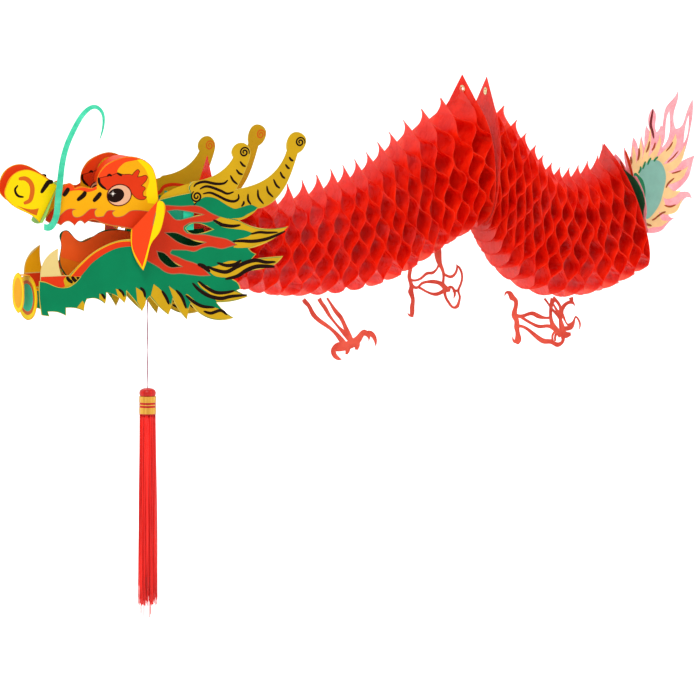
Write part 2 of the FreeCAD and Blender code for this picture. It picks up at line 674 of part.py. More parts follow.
def tail_flames():
    """Main flame plate along the middle plane, and a flame plate across it behind the tail board."""
    outline = [
        [(21, -25), (15.6, -7.8)],
        [(15.6, -7.8), (4.9, -11.1)],
        [(4.9, -11.1), (-2.2, 11.9)],
        [(-2.2, 11.9), (8.5, 15.2)],
        [(8.5, 15.2), (0, 50)],
        [(0, 50), (8, 62), (11, 78), (14, 96)],
        [(14, 96), (19, 88), (21, 78)],
        [(21, 78), (23, 88), (25, 98)],
        [(25, 98), (28, 88), (30, 80)],
        [(30, 80), (30, 98), (32, 110)],
        [(32, 110), (36, 104), (41, 94)],
        [(41, 94), (36, 108), (35, 117), (41, 131)],
        [(41, 131), (46, 120), (45, 107), (47, 101)],
        [(47, 101), (51, 105), (53, 110)],
        [(53, 110), (55, 107)],
        [(55, 107), (57, 120), (61, 133), (68, 140), (77, 152)],
        [(77, 152), (76, 138), (72, 127), (71, 114), (74, 104)],
        [(74, 104), (83, 108), (88, 120), (92, 130), (98, 140)],
        [(98, 140), (98, 122), (94, 100), (89, 81), (81, 62)],
        [(81, 62), (90, 66), (101, 69)],
        [(101, 69), (97, 57), (93, 44), (84, 33), (73, 25)],
        [(73, 25), (81, 24), (89, 24), (97, 15)],
        [(97, 15), (88, 16), (78, 4), (63, -2)],
        [(63, -2), (65, -6), (73, -9)],
        [(73, -9), (64, -14), (55, -23), (34, -26), (21, -25)],
    ]
    gaps = [
        lens((65, 127), [(66, 108), (63, 92)], (54, 81), [(59, 97), (60, 112)]),
        lens((93, 121), [(92, 104), (90, 94)], (85, 85), [(86, 95), (88, 108)]),
    ]
    flat_plate("tail_flame_main", [outline] + gaps, hung(TAIL_POSITION), "dims.film_thickness")
    half = [
        [(0, -42), (14, -40), (24, -30)],
        [(24, -30), (33, -24)],
        [(33, -24), (34, -12), (42, 0)],
        [(42, 0), (48, 12), (50, 24)],
        [(50, 24), (49, 36), (42, 50)],
        [(42, 50), (38, 50), (33, 44)],
        [(33, 44), (36, 62), (30, 88)],
        [(30, 88), (22, 72), (20, 58)],
        [(20, 58), (14, 66), (0, 76)],
    ]
    slot_half, slot_low, slot_high = 1.2, -12.6, 12.6
    slot = [[(-slot_half, slot_low), (slot_half, slot_low)], [(slot_half, slot_low), (slot_half, slot_high)],
            [(slot_half, slot_high), (-slot_half, slot_high)], [(-slot_half, slot_high), (-slot_half, slot_low)]]
    lean = REAR_STATIONS[-1][2]
    behind = Rotation(Y_AXIS, lean).multVec(Vector(11.5, 0, 0))
    flat_plate("tail_flame_cross", [half + mirrored(half), slot],
               leaf_placement(TAIL_POSITION + behind, lean, 0), "dims.film_thickness", "YZ_Plane")


# ---------------------------------------------------------------- build, check and write

def check():
    doc.recompute()
    failed = [item.Label for item in doc.Objects if {"Invalid", "Error"} & set(item.State)]
    for part in parts:
        shape = part.Shape
        if shape.isNull() or not shape.isValid() or shape.Volume <= 0:
            failed.append(part.Label + " shape")
    if failed:
        raise RuntimeError("failed: " + ", ".join(failed))


def write():
    os.makedirs("parts", exist_ok=True)
    for part in parts:
        part.Shape.exportStep(os.path.join("parts", part.Label + ".step"))
        print(f"{part.Label}: {len(part.Shape.Solids)} solid(s), {part.Shape.Volume / 1000:.2f} cm3")


fill_sheet()
front_section()
rear_section()
side_cards()
face_cards()
nose_cards()
snout_plate()
crown_band()
cheeks()
tongue_card()
chin_plates()
fangs()
neck_brace()
whisker()
tassel()
front_feet()
rear_feet()
tail_flames()
check()
write()
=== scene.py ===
"""Looks of the hanging honeycomb dragon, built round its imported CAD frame. Lengths are in metres unless
a name or comment says millimetres."""

import math
import random

import bpy
import numpy as np
from mathutils import Matrix, Vector, geometry, noise


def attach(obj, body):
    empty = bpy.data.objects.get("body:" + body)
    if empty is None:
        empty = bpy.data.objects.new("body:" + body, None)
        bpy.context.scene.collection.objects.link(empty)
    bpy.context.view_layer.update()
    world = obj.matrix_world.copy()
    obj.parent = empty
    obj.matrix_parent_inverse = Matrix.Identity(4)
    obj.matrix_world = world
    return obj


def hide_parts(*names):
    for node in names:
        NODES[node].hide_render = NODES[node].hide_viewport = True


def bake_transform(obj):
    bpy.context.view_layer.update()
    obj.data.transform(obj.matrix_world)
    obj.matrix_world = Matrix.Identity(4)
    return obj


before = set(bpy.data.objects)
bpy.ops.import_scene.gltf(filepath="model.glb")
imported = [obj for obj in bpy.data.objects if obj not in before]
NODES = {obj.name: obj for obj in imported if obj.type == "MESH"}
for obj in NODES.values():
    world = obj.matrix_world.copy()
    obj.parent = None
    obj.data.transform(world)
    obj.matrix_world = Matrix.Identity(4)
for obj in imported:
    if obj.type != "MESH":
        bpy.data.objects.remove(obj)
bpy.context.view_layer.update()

MM = 0.001
HEAD = Vector((-362, 0, -164))          # middle of the neck board, mm
SIDE_YAW, FACE_YAW, CHEEK_YAW = 5, 9.5, 34      # how far the cards flare out, degrees
SIDE_Y, FACE_Y, CHEEK_Y, NOSE_Y = 45.4, 36, 36.5, 9    # how far they stand from the middle, mm
CARD, FILM_PLATE = 0.6, 0.5             # thickness of the cards and of the film plates, mm
INK = 0.07                              # height of one layer of print above the one under it, mm
TAIL = Vector((227, 0, -168))           # middle of the tail board, mm
TAIL_LEAN = -17                         # degrees
FRONT_SPIKE, REAR_SPIKE = 18 * MM, 13 * MM      # height of the back spikes above the leaf's oval
BOARD_SPIKE, NECK_SPIKE, TAIL_SPIKE = 32 * MM, 44 * MM, 21 * MM
FRONT_LEAVES, REAR_LEAVES = 16, 11
FRONT_CURL, REAR_CURL = -4 * MM, 3 * MM         # how far the spike tips bend along the body
REAR_SEED = 100                                 # seed of the rear section's first span
AZIMUTH, ELEVATION = -27, 6             # of the camera, degrees
SIDES = ((-1, "left"), (1, "right"))
INK_REFLECTS = 0.77                     # share of its colour that a printed card gives back


# ---------------------------------------------------------------- materials

class Nodes:
    """Small helper that adds shader nodes and links them."""

    def __init__(self, name):
        self.material = bpy.data.materials.new(name)
        self.material.use_nodes = True
        self.tree = self.material.node_tree
        self.tree.nodes.clear()

    def add(self, kind, inputs=None, **settings):
        node = self.tree.nodes.new("ShaderNode" + kind)
        for key, value in settings.items():
            setattr(node, key, value)
        for key, value in (inputs or {}).items():
            self.set(node.inputs[key], value)
        return node

    def set(self, socket, value):
        if hasattr(value, "is_output"):
            self.tree.links.new(value, socket)
        else:
            socket.default_value = value

    def out(self, shader):
        output = self.add("OutputMaterial")
        self.tree.links.new(shader, output.inputs["Surface"])
        return self.material

    def position(self):
        return self.add("TexCoord").outputs["Object"]

    def noise(self, scale, detail=3.0, roughness=0.5, stretch=None):
        place = self.position()
        if stretch:
            place = self.add("Mapping", {"Vector": place, "Scale": stretch}).outputs["Vector"]
        settings = {"Vector": place, "Scale": scale, "Detail": detail, "Roughness": roughness}
        return self.add("TexNoise", settings).outputs["Fac"]

    def mix(self, factor, first, second):
        node = self.add("Mix", data_type="RGBA")
        self.set(node.inputs["Factor"], factor)
        self.set(node.inputs["A"], first)
        self.set(node.inputs["B"], second)
        return node.outputs["Result"]

    def ramp(self, factor, low, high, start=0.0, end=1.0):
        settings = {"Value": factor, "From Min": low, "From Max": high, "To Min": start, "To Max": end}
        return self.add("MapRange", settings).outputs["Result"]

    def bump(self, height, strength, distance):
        node = self.add("Bump", {"Height": height, "Strength": strength, "Distance": distance})
        return node.outputs["Normal"]

    def attribute(self, name):
        return self.add("Attribute", attribute_name=name).outputs["Fac"]

    def blend(self, share, first, second):
        """The first shader, with this share of the second one in it."""
        node = self.add("MixShader", {"Fac": share})
        self.set(node.inputs[1], first)
        self.set(node.inputs[2], second)
        return node.outputs["Shader"]

    def film(self, surface, glow, glow_share, filter_colour, clear):
        """Material of a film that reflects, glows from behind and lets light through."""
        body = self.blend(glow_share, surface.outputs["BSDF"], glow.outputs["BSDF"])
        through = self.add("BsdfTransparent", {"Color": filter_colour})
        return self.out(self.blend(clear, body, through.outputs["BSDF"]))


def linear(screen):
    """Scene-linear colour from red, green and blue screen values of 0 to 255."""
    shares = [value / 255 for value in screen]
    return tuple(v / 12.92 if v <= 0.04045 else ((v + 0.055) / 1.055) ** 2.4 for v in shares) + (1.0,)


def dimmed(colour, share):
    return tuple(c * share for c in colour[:3]) + (1.0,)


def film_material(name, deep, bright, filter_colour, clear, clear_margin, margin_light_colour=None, shine=0.22):
    """Thin tinted film with clouds of a deep and a bright colour, and with wrinkles.
    clear is how see-through it is, and clear_margin the same where it stands alone, at the spikes and
    the belly. margin_light_colour is its paler colour there, painted light: it stands for the light
    that shines through the lone layer and for its whitish gloss."""
    n = Nodes(name)
    margin = n.attribute("margin")
    cloud = n.ramp(n.noise(46, 4, 0.65), 0.35, 0.65)
    colour = n.mix(cloud, linear(deep), linear(bright))
    if margin_light_colour:
        # Painted light: lone film pales towards margin_light_colour, for light through one layer and its
        # gloss.
        colour = n.mix(n.ramp(margin, 0.15, 1.0, 0.0, 0.85), colour, linear(margin_light_colour))
    wrinkle = n.bump(n.noise(170, 4, 0.6), 0.3, 0.0005)
    creases = n.bump(n.noise(60, 2, 0.5), 0.5, 0.0015)
    rough = n.ramp(n.noise(90, 2), 0.3, 0.7, shine, shine + 0.14)
    surface = n.add("BsdfPrincipled", {"Base Color": colour, "Roughness": rough, "Normal": wrinkle,
                                       "Specular IOR Level": 0.2})
    glow = n.add("BsdfTranslucent", {"Color": colour, "Normal": creases})
    return n.film(surface, glow, 0.4, filter_colour, n.ramp(margin, 0.0, 1.0, clear, clear_margin))


def card_material(name, colour, vary=0.10, rough=0.38):
    """Printed satin card: faint mottling in the ink and a fine surface grain."""
    n = Nodes(name)
    full = dimmed(linear(colour), INK_REFLECTS)
    tone = n.mix(n.ramp(n.noise(22, 4, 0.6), 0.3, 0.7), dimmed(full, 1 - vary), full)
    grain = n.bump(n.noise(900, 2, 0.5), 0.12, 0.0002)
    gloss = n.ramp(n.noise(120, 3), 0.3, 0.7, rough, rough + 0.12)
    surface = n.add("BsdfPrincipled", {"Base Color": tone, "Roughness": gloss, "Normal": grain,
                                       "Specular IOR Level": 0.06})
    return n.out(surface.outputs["BSDF"])


def clear_ink_material(name, colour, clear):
    """Print on see-through film: light comes through the colour."""
    n = Nodes(name)
    full = linear(colour)
    tone = n.mix(n.ramp(n.noise(60, 3), 0.3, 0.7), dimmed(full, 0.85), full)
    wrinkle = n.bump(n.noise(150, 3, 0.6), 0.3, 0.0006)
    surface = n.add("BsdfPrincipled", {"Base Color": tone, "Roughness": 0.3, "Normal": wrinkle})
    glow = n.add("BsdfTranslucent", {"Color": tone})
    return n.film(surface, glow, 0.45, full, clear)


def thread_material(name, colour, dark, shine=0.35):
    """Spun thread: fine lengthwise fibres with a silky sheen."""
    n = Nodes(name)
    fibre = n.noise(260, 3, 0.6, (1, 1, 0.04))
    tone = n.mix(n.ramp(fibre, 0.3, 0.7), linear(dark), linear(colour))
    surface = n.add("BsdfPrincipled", {"Base Color": tone, "Roughness": shine, "Sheen Weight": 0.1,
                                       "Specular IOR Level": 0.2, "Normal": n.bump(fibre, 0.5, 0.0004)})
    return n.out(surface.outputs["BSDF"])


def metal_material(name, colour):
    """Bright plated metal with patches of faint tarnish."""
    n = Nodes(name)
    clean = linear(colour)
    tone = n.mix(n.ramp(n.noise(300, 3), 0.35, 0.7), clean, dimmed(clean, 0.75))
    surface = n.add("BsdfPrincipled", {"Base Color": tone, "Metallic": 0.9,
                                       "Roughness": n.ramp(n.noise(500, 2), 0.3, 0.7, 0.16, 0.3)})
    return n.out(surface.outputs["BSDF"])


# The last colour given to each red film is painted light: its paler tint where the film stands alone.
FILM = film_material("red_film", (224, 13, 1), (250, 44, 10), (1.0, 0.16, 0.10, 1), 0.04, 0.34,
                     (248, 98, 84))
# Painted highlight: the edge bead's film is brighter and paler, for the light that the cut edges catch.
FILM_EDGE_HIGHLIGHT = film_material("red_film_edge_highlight", (244, 44, 18), (252, 76, 44), (1.0, 0.5, 0.4, 1), 0.05, 0.35,
                          (252, 134, 116))
BOARD_FILM = film_material("red_board", (226, 30, 10), (244, 62, 36), (1.0, 0.30, 0.24, 1), 0.10, 0.10)
FOOT_FILM = film_material("coral_film", (206, 70, 52), (224, 98, 76), (1.0, 0.5, 0.44, 1), 0.12, 0.12)
TAIL_FILM = film_material("pink_film", (236, 150, 160), (248, 186, 190), (1.0, 0.76, 0.78, 1), 0.36, 0.36)
TEAL_FILM = film_material("teal_film", (50, 200, 160), (104, 224, 192), (0.5, 0.95, 0.8, 1), 0.16, 0.16)
PINK_THREAD = thread_material("pink_thread", (176, 84, 112), (128, 46, 76))
RED_THREAD = thread_material("red_thread", (248, 40, 28), (206, 14, 10))
CAP_THREAD = thread_material("cap_thread", (206, 30, 20), (146, 10, 6))
GOLD_THREAD = thread_material("gold_thread", (226, 176, 66), (176, 120, 30), 0.28)
BRASS = metal_material("eyelet_brass", (228, 212, 160))

# Colour of each ink on the cards, and the share of it that its mottling takes away.
CARD_SHADES = {
    "green": ((0, 132, 84), 0.16),
    # dark_green is used only on the tongue card, as painted shade.
    "dark_green": ((6, 82, 44), 0.10),
    "mustard": ((212, 166, 22), 0.14),
    "pale_mustard": ((224, 190, 70), 0.10),
    "flame_red": ((214, 52, 22), 0.14),
    "flame_rim": ((176, 108, 80), 0.10),
    "black": ((30, 8, 2), 0.10),
    "yellow": ((255, 218, 0), 0.06),
    "orange_yellow": ((246, 172, 10), 0.08),
    "orange": ((240, 120, 20), 0.10),
    "orange_red": ((246, 70, 22), 0.08),
    "tongue_red": ((255, 96, 32), 0.10),
    "rust": ((222, 104, 22), 0.10),
    "brown": ((96, 26, 8), 0.10),
    "lip_red": ((228, 56, 16), 0.10),
    "rose": ((238, 178, 140), 0.10),
    "cream": ((236, 208, 132), 0.10),
    "white": ((250, 238, 226), 0.10),
    "teal": ((46, 204, 160), 0.10),
    "light_green": ((150, 214, 110), 0.10),
}
INKS = {name: card_material("ink_" + name, *shade) for name, shade in CARD_SHADES.items()}
TAIL_INKS = {
    "teal": clear_ink_material("tail_teal", (158, 214, 204), 0.12),
    "cream": clear_ink_material("tail_cream", (255, 240, 172), 0.16),
    "dark_green": clear_ink_material("tail_green", (6, 146, 92), 0.12),
    "orange": clear_ink_material("tail_orange", (228, 84, 20), 0.08),
    "brown": clear_ink_material("tail_brown", (180, 84, 30), 0.05),
    "dark_red": clear_ink_material("tail_dark_red", (132, 16, 26), 0.05),
}


# ---------------------------------------------------------------- mesh helpers

def smooth(points, steps=7):
    """Points of a Catmull-Rom curve through the given ones. Two points stay a straight line."""
    points = [Vector(p) for p in points]
    if len(points) < 3:
        return points
    ends = [points[0] * 2 - points[1]] + points + [points[-1] * 2 - points[-2]]
    curve = []
    for a, b, c, d in zip(ends, ends[1:], ends[2:], ends[3:]):
        for i in range(steps):
            t = i / steps
            curve.append(0.5 * (2 * b + (c - a) * t + (2 * a - 5 * b + 4 * c - d) * t * t
                                + (3 * b - a - 3 * c + d) * t ** 3))
    return curve + [points[-1]]


SAME_POINT = 0.02       # mm


def outline(strokes, steps=7):
    """Closed outline of smooth strokes that meet at sharp corners. Each goes on from the end of the last."""
    points, corner = [], strokes[0][0]
    for stroke in strokes:
        if tuple(stroke[0]) != tuple(corner):
            stroke = [corner] + stroke
        corner = stroke[-1]
        for point in smooth(stroke, steps):
            if not points or (point - points[-1]).length > SAME_POINT:
                points.append(point)
    if (points[0] - points[-1]).length < SAME_POINT:
        points.pop()
    return points


def blob(points, steps=6):
    """Closed smooth outline through the points."""
    count = len(points)
    wrapped = [points[i % count] for i in range(-1, count + 2)]
    curve = smooth(wrapped, steps)
    return curve[steps:-steps - 1]


def tilted(centre, half_width, half_height, degrees, count=32):
    """Oval outline turned by some degrees."""
    turn = Matrix.Rotation(math.radians(degrees), 2)
    points = []
    for i in range(count):
        angle = math.tau * i / count
        spoke = turn @ Vector((half_width * math.cos(angle), half_height * math.sin(angle)))
        points.append(Vector(centre) + spoke)
    return points


def brush(points, width, ends=0.25, taper=0.4):
    """Outline of a brush stroke along the points. It thins to a share of its width at both ends."""
    middle = smooth(points, 6)
    left, right = [], []
    for i, point in enumerate(middle):
        along = direction(middle, i)
        share = max(math.sin(math.pi * i / (len(middle) - 1)), 0.0) ** taper
        half = width / 2 * (ends + (1 - ends) * share)
        side = Vector((-along.y, along.x)) * half
        left.append(point + side)
        right.append(point - side)
    return left + right[::-1]


SPIRAL_STEPS = 14       # points in one turn of a curl
SPIRAL_SHRINK = 0.86    # share of its radius that a curl has lost at its inner end


def spiral(centre, radius, turns, start, width):
    """Curl that winds inwards from the radius, as a brush stroke. start is in degrees."""
    count = int(SPIRAL_STEPS * turns)
    points = []
    for i in range(count + 1):
        share = i / count
        angle = math.radians(start) + math.tau * turns * share
        reach = radius * (1 - SPIRAL_SHRINK * share)
        points.append((centre[0] + reach * math.cos(angle), centre[1] + reach * math.sin(angle)))
    return brush(points, width, 0.5)


def signed_area(points):
    """Area inside the outline, below zero if it runs clockwise."""
    return 0.5 * sum(a.x * b.y - b.x * a.y for a, b in zip(points, points[1:] + points[:1]))


SHARP_TIP = 0.35        # a corner is a sharp tip if the normals beside it add up to less than this
TIP_SHORTENING = 2.2    # it then moves back by so many times the distance
STRETCH_LIMIT = 0.45    # keeps the other corners from moving more than 1 / 0.45 times the distance


def inset(points, distance):
    """The outline moved inwards by the distance, with its sharp tips cut short."""
    turn = 1 if signed_area(points) > 0 else -1
    moved = []
    for i, point in enumerate(points):
        before = (point - points[i - 1]).normalized()
        after = (points[(i + 1) % len(points)] - point).normalized()
        normal = Vector((-before.y - after.y, before.x + after.x)) * turn
        if normal.length < SHARP_TIP:
            moved.append(point + (before - after).normalized() * -TIP_SHORTENING * distance)
            continue
        normal.normalize()
        across = Vector((-before.y, before.x)) * turn
        moved.append(point + normal * distance / max(normal.dot(across), STRETCH_LIMIT))
    return moved


def quads(base, rows, columns, closed=False):
    """Faces between neighbouring rows of points. A closed row is a loop."""
    faces = []
    for row in range(rows - 1):
        for column in range(columns if closed else columns - 1):
            a = base + row * columns + column
            b = base + row * columns + (column + 1) % columns
            faces.append((a, b, b + columns, a + columns))
    return faces


def circle(centre, first, second, radius, count):
    """Points round a centre, in the plane of two directions."""
    turns = [math.tau * i / count for i in range(count)]
    return [centre + (first * math.cos(turn) + second * math.sin(turn)) * radius for turn in turns]


def direction(path, i):
    """Direction of the path at its point i."""
    return (path[min(i + 1, len(path) - 1)] - path[max(i - 1, 0)]).normalized()


def mesh_object(name, vertices, faces, materials, indices=None, shade=True):
    """New object in the scene. indices has the number of the material of each face."""
    mesh = bpy.data.meshes.new(name)
    mesh.from_pydata([tuple(v) for v in vertices], [], faces)
    for material in materials:
        mesh.materials.append(material)
    if indices:
        mesh.polygons.foreach_set("material_index", indices)
    if shade:
        mesh.polygons.foreach_set("use_smooth", [True] * len(mesh.polygons))
    mesh.update()
    obj = bpy.data.objects.new(name, mesh)
    bpy.context.scene.collection.objects.link(obj)
    return obj


def plane_matrix(place, yaw=0, lean=0):
    """Matrix of a plate: local x along it, local y its normal, local z up. place is in mm."""
    turn = Matrix.Rotation(math.radians(yaw), 4, "Z") @ Matrix.Rotation(math.radians(lean), 4, "Y")
    return Matrix.Translation(Vector(place) * MM) @ turn


def on_head(x, y, z, yaw=0, lean=0):
    """Matrix of a card of the head, at a place counted from the middle of the neck board."""
    return plane_matrix(HEAD + Vector((x, y, z)), yaw, lean)


def printed(name, matrix, layers, body, across=False, palette=INKS, thickness=CARD, faces=(-1, 1)):
    """Print on both faces of a card. layers is a list of (ink, level, outline, holes) in the card's mm.
    across is for a card that stands across the body, whose outline runs along local y."""
    vertices, polygons, indices, used = [], [], [], []
    for ink, level, border, holes in layers:
        if ink not in used:
            used.append(ink)
        loops = [[Vector((p.x, p.y, 0)) for p in loop] for loop in [border] + holes]
        triangles = geometry.tessellate_polygon(loops)
        for side in faces:
            base = len(vertices)
            lift = side * (thickness / 2 + INK * level)
            for point in sum(loops, []):
                local = (lift, point.x, point.y) if across else (point.x, lift, point.y)
                vertices.append(matrix @ (Vector(local) * MM))
            for a, b, c in triangles:
                order = (a, b, c) if side < 0 else (a, c, b)
                polygons.append(tuple(base + i for i in order))
                indices.append(used.index(ink))
    obj = mesh_object(name, vertices, polygons, [palette[ink] for ink in used], indices, shade=False)
    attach(obj, body)
    return obj


def layer(ink, level, border, *holes):
    """One printed shape. level counts the layers of ink from the card outwards."""
    return (ink, level, border, list(holes))


def strokes(ink, level, paths, width, ends=0.25):
    """Brush strokes of one ink and width."""
    return [layer(ink, level, brush(path, width, ends)) for path in paths]


def mirrored(half):
    """Closed list of points from its right half, which starts and ends on the middle line."""
    return half + [(-x, y) for x, y in half[-2:0:-1]]


def paint(node, material):
    """Gives a CAD node its material."""
    for slot in NODES[node].material_slots:
        slot.link = "OBJECT"
        slot.material = material


# ---------------------------------------------------------------- honeycomb body

HALF_WIDTH_TO_HEIGHT = 0.36  # of a leaf's oval, for the neck board that is wider than its oval
GLUE_STEP = 44 * MM         # distance from one glue line of a leaf to the next
TOP_GLUE = 1.5 * MM         # the highest one lies this far below the top of the leaf's oval
GLUE_WIDTH = 0.07           # share of the way to the next line that is glued flat
GLUE_SHIFT = 6              # how far a leaf's glue lines may wander up or down, mm
LEAST_REACH = 0.84          # how far a leaf opens at least, as a share of half its gap
RUFFLE = 0.11               # how uneven a leaf is, as a share of its gap
EDGE_TUCK = 0.06            # how much less a leaf opens at its side edges
GLUED_AT = 0.012            # how far a leaf is from its pair at a glue line, as a share of the gap
LEAST_GAP = 0.008           # the same, at the least
EDGE_RADIUS = 0.24 * MM     # of the bead along the cut edges, whose brighter colour is a painted highlight
SPIKE_BASE = 17 * MM        # half width of a back spike at its foot
SPIKE_FOOT = 0.478          # height of that foot, in oval heights
BELLY_SHARE = 0.58          # half width where the belly's curve starts, as a share of the widest


class Leaf:
    """Frame of a CAD leaf or board: centre, normal towards the tail, up, lateral, and its oval's size."""

    def __init__(self, node, spike):
        mesh = NODES[node].data
        points = np.empty(len(mesh.vertices) * 3)
        mesh.vertices.foreach_get("co", points)
        points = points.reshape(-1, 3)
        middle = points.mean(axis=0)
        normal = Vector(np.linalg.svd(points - middle, full_matrices=False)[2][2])
        self.normal = (normal if normal.x > 0 else -normal).normalized()
        up = Vector((0, 0, 1)) - self.normal * self.normal.z
        self.up = up.normalized()
        self.lateral = self.up.cross(self.normal)
        heights = points @ np.array(self.up)
        sides = points @ np.array(self.lateral)
        depth = float((points @ np.array(self.normal)).mean())
        self.height = heights.max() - spike - heights.min()
        self.width = (sides.max() - sides.min()) / 2
        centre_up = heights.min() + self.height / 2
        centre_side = (sides.max() + sides.min()) / 2
        self.centre = self.up * centre_up + self.lateral * centre_side + self.normal * depth

    def at(self, side, up):
        return self.centre + self.lateral * side + self.up * up


# Half width of the leaf, as a share of its widest, at heights counted in oval heights.
SIDE_PROFILE = [(-0.455, BELLY_SHARE), (-0.40, 0.735), (-0.33, 0.86), (-0.20, 0.965), (-0.04, 1.0),
                (0.13, 0.965), (0.28, 0.86), (0.40, 0.66)]


def leaf_rows(height, width, spike):
    """(height, half width, margin) rows of a leaf from its belly to the tip of its spike.
    margin is 1 where the film stands alone, at the spike and along the belly."""
    rows = []
    for share in (0.0, 0.08, 0.3, 0.65, 1.0):
        up = -0.5 + 0.045 * share
        rows.append((up * height, max(BELLY_SHARE * math.sqrt(share), 0.06) * width, 1 - 0.4 * share))
    for point in smooth(SIDE_PROFILE + [(SPIKE_FOOT, SPIKE_BASE / width)], 5)[1:]:
        low = max(0.0, 0.6 - (point.x + 0.455) * 9)
        top = max(0.0, (point.x - 0.36) * 5)
        rows.append((point.x * height, point.y * width, max(low, top)))
    for share in (0.12, 0.26, 0.42, 0.6, 0.8, 1.0):
        up = SPIKE_FOOT * height + share * (0.022 * height + spike)
        rows.append((up, max(SPIKE_BASE * (1 - share) ** 1.55, 0.25 * MM), 1.0))
    return rows


def opening(up, height):
    """How far a leaf has left its own glue line, from 0 there to 1 at the glue line of its neighbour."""
    below_top = height / 2 - up - TOP_GLUE
    if below_top < 0:
        return 0.0
    phase = (below_top / GLUE_STEP) % 1.0
    away = 1 - abs(2 * phase - 1)
    share = min(max((away - GLUE_WIDTH) / (1 - 2 * GLUE_WIDTH), 0.0), 1.0)
    return share * share * (3 - 2 * share)


def span_sheets(first, second, seed, curl, spike):
    """The two leaves between two glued pairs, with a thin edge bead round each, painted brighter as a
    highlight.
    """
    columns = [-1, -0.9, -0.75, -0.5, -0.25, 0, 0.25, 0.5, 0.75, 0.9, 1]
    vertices, faces, indices, margins = [], [], [], []
    chooser = random.Random(seed)
    height = (first.height + second.height) / 2
    for which in (0, 1):
        shift = chooser.uniform(-GLUE_SHIFT, GLUE_SHIFT) * MM
        reach = chooser.uniform(LEAST_REACH, 1.0)
        near, far = (first, second) if which == 0 else (second, first)
        base = len(vertices)
        rows = leaf_rows(near.height, near.width, spike)
        for up, half, margin in rows:
            open_share = opening(up + shift * max(0.0, 0.4 - abs(up / height)) * 2.5, height)
            for column in columns:
                side = half * column
                here = near.at(side, up)
                there = far.at(side * far.width / near.width, up * far.height / near.height)
                # Each sheet takes its ruffles from another part of the noise, and is flatter at its margins.
                ruffle = noise.noise(Vector((side * 26, up * 34, seed * 3.1 + which * 7.7)))
                edge = abs(column) ** 3
                share = 0.5 * reach * open_share * (1 - EDGE_TUCK * edge) + GLUED_AT
                share += RUFFLE * ruffle * (0.4 + edge) * (1 if margin < 0.95 else 0.3)
                point = here.lerp(there, max(share, LEAST_GAP))
                above = max(0.0, up - near.height / 2) / spike
                point += near.normal * curl * above * above
                vertices.append(point)
                margins.append(margin)
        sheet = quads(base, len(rows), len(columns))
        faces += sheet
        indices += [0] * len(sheet)
        end = len(vertices)
        for column in (0, len(columns) - 1):
            add_edge(vertices, faces, indices, margins, range(base + column, end, len(columns)))
    return vertices, faces, indices, margins


def add_edge(vertices, faces, indices, margins, places):
    """Thin three-sided bead along one side edge of a sheet, whose points are at these places."""
    start = len(vertices)
    edge = [vertices[place] for place in places]
    for i, place in enumerate(places):
        along = direction(edge, i)
        first = along.cross(Vector((1, 0, 0.01))).normalized()
        vertices += circle(edge[i], first, along.cross(first), EDGE_RADIUS, 3)
        margins += [margins[place]] * 3
    bead = quads(start, len(edge), 3, True)
    faces += bead
    # Material 1 is the brighter edge film, a painted highlight along the cut edge.
    indices += [1] * len(bead)


def span(name, first, second, node, seed, curl, spike):
    """One span of honeycomb between two neighbouring pairs, shaped from both."""
    vertices, faces, indices, margins = span_sheets(first, second, seed, curl, spike)
    obj = mesh_object(name, vertices, faces, [FILM, FILM_EDGE_HIGHLIGHT], indices)
    attribute = obj.data.attributes.new("margin", "FLOAT", "POINT")
    attribute.data.foreach_set("value", margins)
    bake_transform(obj)
    if node:
        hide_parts(node)


def body_section(name, first_end, last_end, leaves, curl, spike, first_seed):
    """All spans of one body section. Each end is its board, the body that carries it (not used) and its
    spike.
    """
    between = [(f"{name}_leaf_{k:02d}", f"{name}_pair_{k:02d}", spike) for k in range(1, leaves + 1)]
    nodes, bodies, spikes = zip(first_end, *between, last_end)
    frames = [Leaf(node, height) for node, height in zip(nodes, spikes)]
    if nodes[0] == "neck_board":
        frames[0].width = frames[0].height * HALF_WIDTH_TO_HEIGHT
    for k in range(leaves + 1):
        replaced = nodes[k + 1] if k < leaves else None
        span(f"{name}_honeycomb_{k + 1:02d}", frames[k], frames[k + 1], replaced,
             k + first_seed, curl, spike)


# ---------------------------------------------------------------- head prints

SIDE_HORNS = [
    [(-38, 69), (-13, 74), (6, 85), (16, 97)],
    [(14, 106), (21, 114), (32, 114), (39, 105), (37, 92), (30, 75), (20, 57)],
    [(37, 60), (59, 68), (77, 83), (88, 103)],
    [(89, 117), (96, 125), (106, 125), (114, 117), (111, 105), (103, 99)],
    [(96, 79), (84, 55), (64, 36), (49, 32)],
]
SIDE_JAW = [
    [(-244, -48), (-234, -50), (-220, -56), (-206, -57), (-196, -52), (-189, -45)], [(-205, -43)],
    [(-190, -29), (-172, -15), (-154, -6), (-136, -1), (-114, -1)], [(-96, -2), (-88, 17), (-83, 48)],
    [(-62, 52), (-42, 55)], [(-44, 62), (-38, 69)],
]
SIDE_FLAMES = [
    [(49, 32), (38, 23), (24, 18)], [(41, 10), (60, 6), (90, 8)], [(68, -8), (37, -18)],
    [(41, -22), (47, -25)], [(41, -31)], [(59, -30), (83, -29)], [(68, -41), (38, -46), (14, -55)],
    [(22, -60), (26, -68)], [(21, -70)], [(36, -78)], [(17, -83), (-6, -84)], [(3, -94), (17, -104)],
]
